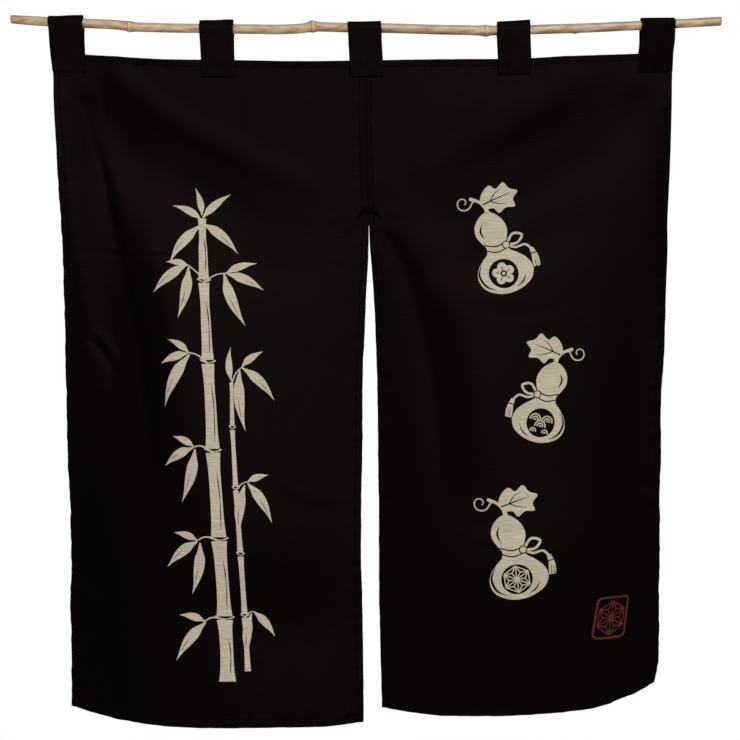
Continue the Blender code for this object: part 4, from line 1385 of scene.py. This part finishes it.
def tab_stitches(grid, tab):
    """A box of stitches where each end of a tab is sewn down."""
    rows, columns = grid.shape[:2]
    normal = unit(np.cross(np.gradient(grid, axis=0), np.gradient(grid, axis=1)))
    outwards = -1 if normal[0, 0, 1] > 0 else 1
    shell = grid + outwards * normal * (TAB_THICK / 2 + TAB_STITCH_RISE)
    left, right = TAB_STITCH_INSET, columns - 1 - TAB_STITCH_INSET
    low = max(1, int(round(TAB_STITCH_FROM_END / (tab.overlap / (TAB_SEWN_ROWS - 1)))))
    lines = []
    for first, last in ((low, TAB_SEWN_ROWS - 1), (rows - 1 - low, rows - TAB_SEWN_ROWS)):
        step = 1 if last > first else -1
        lines += [shell[row, left : right + 1] for row in (first, last)]
        lines += [shell[first : last + step : step, column] for column in (left, right)]
    return lines


def tack_lines(surfaces):
    """The crescent's threads: each crosses the band from its outer edge to its inner one, arched over the
    cloth."""
    t = np.linspace(0, 1, TACK_THREAD_STEPS)
    half_width = TACK_WIDTH / 2 - TACK_HORN * t
    height = TACK_HEIGHT - TACK_BAND * t
    arch = BODY_THICK / 2 + TACK_RISE + TACK_ARCH * np.sin(math.pi * (0.06 + 0.88 * t)) ** 0.6
    lines = []
    for number in range(TACK_THREADS):
        fan = 0.16 * (t - 0.5) + 0.01 * uneven_wave(number * 2.4)
        angle = math.pi * (1 - (number + 0.5) / TACK_THREADS) + fan
        across = SEAM_ACROSS + half_width * np.cos(angle)
        down = TACK_FOOT - height * np.sin(angle)
        left, right = (read_surface(surface, across, down) for surface in surfaces)
        on_left = (across < SEAM_ACROSS)[:, None]
        points, outward = (np.where(on_left, left[k], right[k]) for k in (0, 3))
        lines.append(points + outward * (arch + TACK_UNEVEN * (number % 2))[:, None])
    return lines


# ---------------------------------------- the pole
POLE_AROUND = 40
POLE_STEP = 2.4 * MM
POLE_OVAL = (1.02, 0.99)  # forward and up
POLE_UNEVEN = (0.12 * MM, 0.10 * MM)  # waves along it, and ridges round it
JOINT_TILT = 0.5 * MM
SAWN_EDGE = 0.5 * MM
JOINT_STEP = 0.4 * MM
JOINT_REACH = 9 * MM
# What each joint has on it, from left to right past its middle: how far on, how wide and how strong.
# Shifts, reaches and swells are in millimetres
JOINT_RINGS = table(
    "kind shift reach amount",
    ("swell", 0, 6, 0.55), ("swell", 0, 0.75, 0.50), ("swell", -1.7, 0.8, -0.35), ("swell", 3.4, 1.3, 0.32),
    ("scar", -1.3, 0.65, 0.50), ("scar", 5.2, 1.6, 0.30), ("pale", 0.6, 0.9, 0.40), ("pale", 3.2, 1.2, 0.20),
)
BUD = (0.282, -math.pi / 2, 3.2 * MM)  # x, angle round the cane, half length
# A sawn end from its rim inwards: how far out each ring lies, how deep, and how dark and how pale it is. The
# cut rim is pale, and the hollow inside is painted dark, as shade.
END_RINGS = table("share depth scar pale", (0.4, 0.0, 0.05, 0.8), (0.32, 3 * MM, 0.7, 0.0))


def build_pole():
    """The cane: slightly oval, with a ridge, a scar line and a swelling at each joint, and sawn ends."""
    ends = POLE_LINE[0].x, POLE_LINE[-1].x
    xs = [np.arange(ends[0], ends[1], POLE_STEP), [ends[1]]]
    xs += [np.arange(joint.x - JOINT_REACH, joint.x + JOINT_REACH, JOINT_STEP) for joint in CANE_JOINTS]
    xs += [np.array([ends[0] + SAWN_EDGE, ends[1] - SAWN_EDGE])]
    xs = np.unique(np.round(np.concatenate(xs), 5))
    xs = xs[np.r_[True, np.diff(xs) > 0.15 * MM]]
    around = np.arange(POLE_AROUND) * 2 * math.pi / POLE_AROUND
    z, radius = (column[:, None] for column in pole_at(xs))
    x = xs[:, None] + 0 * around
    marks = {"scar": np.zeros_like(x), "pale": np.zeros_like(x)}
    swell = POLE_UNEVEN[0] * uneven_wave(x / 0.019 + np.sin(around))
    swell = swell + POLE_UNEVEN[1] * uneven_wave(2 * around + x / 0.06)
    for number, joint in enumerate(CANE_JOINTS):
        from_joint = x - joint.x - JOINT_TILT * np.cos(around + 1.1 * number)
        bulge = (joint.above + joint.under) / 2 + (joint.above - joint.under) / 2 * np.sin(around)
        swell = swell + bulge * MM * bell(from_joint + 0.8 * MM, 4.2 * MM)
        for ring in JOINT_RINGS:
            amount = ring.amount * bell(from_joint - ring.shift * MM, ring.reach * MM)
            if ring.kind == "swell":
                swell = swell + MM * amount
            else:
                marks[ring.kind] = np.maximum(marks[ring.kind], amount)
    scar, pale = marks["scar"], marks["pale"]
    # Painted shade: the cane is painted greyer and darker on top, and browner along its underside towards its
    # right end
    grey = 0.9 * bell(np.sin((around - math.pi / 2) / 2), 0.55) * (1 + 0.15 * uneven_wave(x / 0.023))
    to_right = smooth_step(x, -0.14, -0.02)
    below = bell(np.sin((around + math.pi / 2 + 0.45) / 2), 0.34 + 0.14 * to_right)
    underside_shade = 0.12 + 0.66 * to_right
    blotched = np.clip(0.65 + 0.6 * uneven_wave(x / 0.012 + 1.4 * around), 0, 1)
    scar = np.maximum(scar, underside_shade * below * blotched)
    bud_x, bud_angle, bud_half = BUD
    on_bud = np.exp(-(((x - bud_x) / bud_half) ** 2) - (np.sin((around - bud_angle) / 2) / 0.24) ** 2)
    swell = swell + 1.3 * MM * on_bud
    scar = np.maximum(scar, np.clip(1.2 * on_bud, 0, 0.9))
    rim = np.minimum(x - ends[0], ends[1] - x)
    swell = swell - 0.45 * MM * bell(rim, SAWN_EDGE)
    scar = np.maximum(scar, 0.25 * bell(rim, 1.5 * MM))
    size = radius + swell
    forward, up = (size * oval for oval in POLE_OVAL)
    grid = np.stack([x, forward * np.cos(around), z + up * np.sin(around)], axis=-1)
    rows = len(xs)
    index = np.arange(rows * POLE_AROUND).reshape(rows, POLE_AROUND)
    after = np.roll(index, -1, axis=1)
    faces = np.stack([index[:-1], after[:-1], after[1:], index[1:]], axis=-1).reshape(-1, 4).tolist()
    verts = grid.reshape(-1, 3).tolist()
    marks = [scar.ravel().tolist(), pale.ravel().tolist(), grey.ravel().tolist()]
    for row, way in ((0, 1), (rows - 1, -1)):
        centre = grid[row].mean(axis=0)
        ring = index[row]
        for end in END_RINGS:
            fresh = np.arange(len(verts), len(verts) + POLE_AROUND)
            verts += (centre + (grid[row] - centre) * end.share + (way * end.depth, 0, 0)).tolist()
            for values, value in zip(marks, (end.scar, end.pale, 0.0)):
                values += [value] * POLE_AROUND
            quads = np.stack([ring, fresh, np.roll(fresh, -1), np.roll(ring, -1)], axis=1)
            faces += quads[:, ::way].tolist()
            ring = fresh
        faces.append(tuple(ring[::-1]) if way > 0 else tuple(ring))
    item = add_mesh("bamboo_pole", verts, faces, (BAMBOO,))
    for name, values in zip(("scar", "pale", "grey"), marks):
        set_values(item, name, values)
    item.data.set_sharp_from_angle(angle=math.radians(50))
    return item


# ---------------------------------------- light, floor and camera
CAMERA_PLACE = (0.0047, -1.9, -0.25)
CAMERA_TILT_DOWN = 6.44
CAMERA_LENS_MM = 67.06
KEY_PLACE = (0.9, -4.0, 2.6)
KEY_AIM = (-0.05, 0.0, -0.35)
KEY_SIZE = 1.6
KEY_POWER = 150.0
SURROUND_LIGHT = 0.50
SURROUND_SHINE = 0.02
FLOOR_Z = -2.6
FLOOR_HALF = 1.0


def build_studio():
    """A white surround, one broad soft light from above on the right, and a pale floor under the
    curtain."""
    scene = bpy.context.scene
    scene.view_settings.view_transform = "Standard"
    world = bpy.data.worlds.new("white surround")
    world.use_nodes = True
    scene.world = world
    tree = world.node_tree
    tree.nodes.clear()
    path = add_node(tree, "ShaderNodeLightPath")
    white = (1.0, 1.0, 1.0, 1.0)
    soft, mirrored, seen = (
        add_node(tree, "ShaderNodeBackground", {"Color": white, "Strength": strength}).outputs[0]
        for strength in (SURROUND_LIGHT, SURROUND_SHINE, 1.0)
    )
    lit = add_node(tree, "ShaderNodeMixShader", {0: path.outputs["Is Glossy Ray"], 1: soft, 2: mirrored})
    shown = {0: path.outputs["Is Camera Ray"], 1: lit.outputs[0], 2: seen}
    both = add_node(tree, "ShaderNodeMixShader", shown)
    add_node(tree, "ShaderNodeOutputWorld", {0: both.outputs[0]})
    data = bpy.data.lights.new("key light", "AREA")
    data.size = KEY_SIZE
    data.energy = KEY_POWER
    lamp = bpy.data.objects.new("key light", data)
    lamp.location = KEY_PLACE
    lamp.rotation_euler = (Vector(KEY_AIM) - Vector(KEY_PLACE)).to_track_quat("-Z", "Y").to_euler()
    scene.collection.objects.link(lamp)
    corners = [(FLOOR_HALF * x, FLOOR_HALF * y) for x, y in ((-1, -1), (1, -1), (1, 1), (-1, 1))]
    paint, _, _ = start_material("pale matt floor", Base_Color=hex_colour("#D8D6D2"), Roughness=0.9)
    floor = add_mesh("floor", [(x, y, FLOOR_Z) for x, y in corners], [(0, 1, 2, 3)], (paint,), smooth=False)
    data = bpy.data.cameras.new("camera")
    data.lens = CAMERA_LENS_MM
    data.sensor_width = 36
    camera = bpy.data.objects.new("camera", data)
    camera.location = CAMERA_PLACE
    camera.rotation_euler = (math.radians(90 - CAMERA_TILT_DOWN), 0, 0)
    scene.collection.objects.link(camera)
    scene.camera = camera


# ---------------------------------------- the whole curtain
def main():
    surfaces = (make_surface(-1), make_surface(1))
    stitches = stitch_tree(THREAD)
    gourds = [drawn for gourd in GOURDS for drawn in gourd_prints(gourd)]
    for name, surface, prints in (
        ("left", surfaces[0], bamboo_prints()),
        ("right", surfaces[1], gourds + seal_prints()),
    ):
        panel = build_panel(f"panel_{name}_cloth", surface, prints)
        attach(panel, "root")
        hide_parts(f"panel_{name}")
        sewing = grow(f"stitches_{name}", panel_stitches(surface), stitches, STITCH_SIZES)
        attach(sewing, "root")
    tab_lines = []
    for number, tab in enumerate(TABS, 1):
        piece, grid, length = build_tab(number, tab, surfaces)
        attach(piece, "root")
        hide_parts(f"tab_{number}")
        tab_lines += tab_stitches(grid, tab)
    sewing = grow("stitches_tabs", tab_lines, stitches, STITCH_SIZES)
    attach(sewing, "root")
    satin = satin_tree(TACK_THREAD)
    tack = grow("crescent_stitching", tack_lines(surfaces), satin, {"Thread": TACK_THREAD_THICK})
    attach(tack, "root")
    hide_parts("slit_tack")
    pole = build_pole()
    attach(pole, "root")
    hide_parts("pole")
    build_studio()


main()
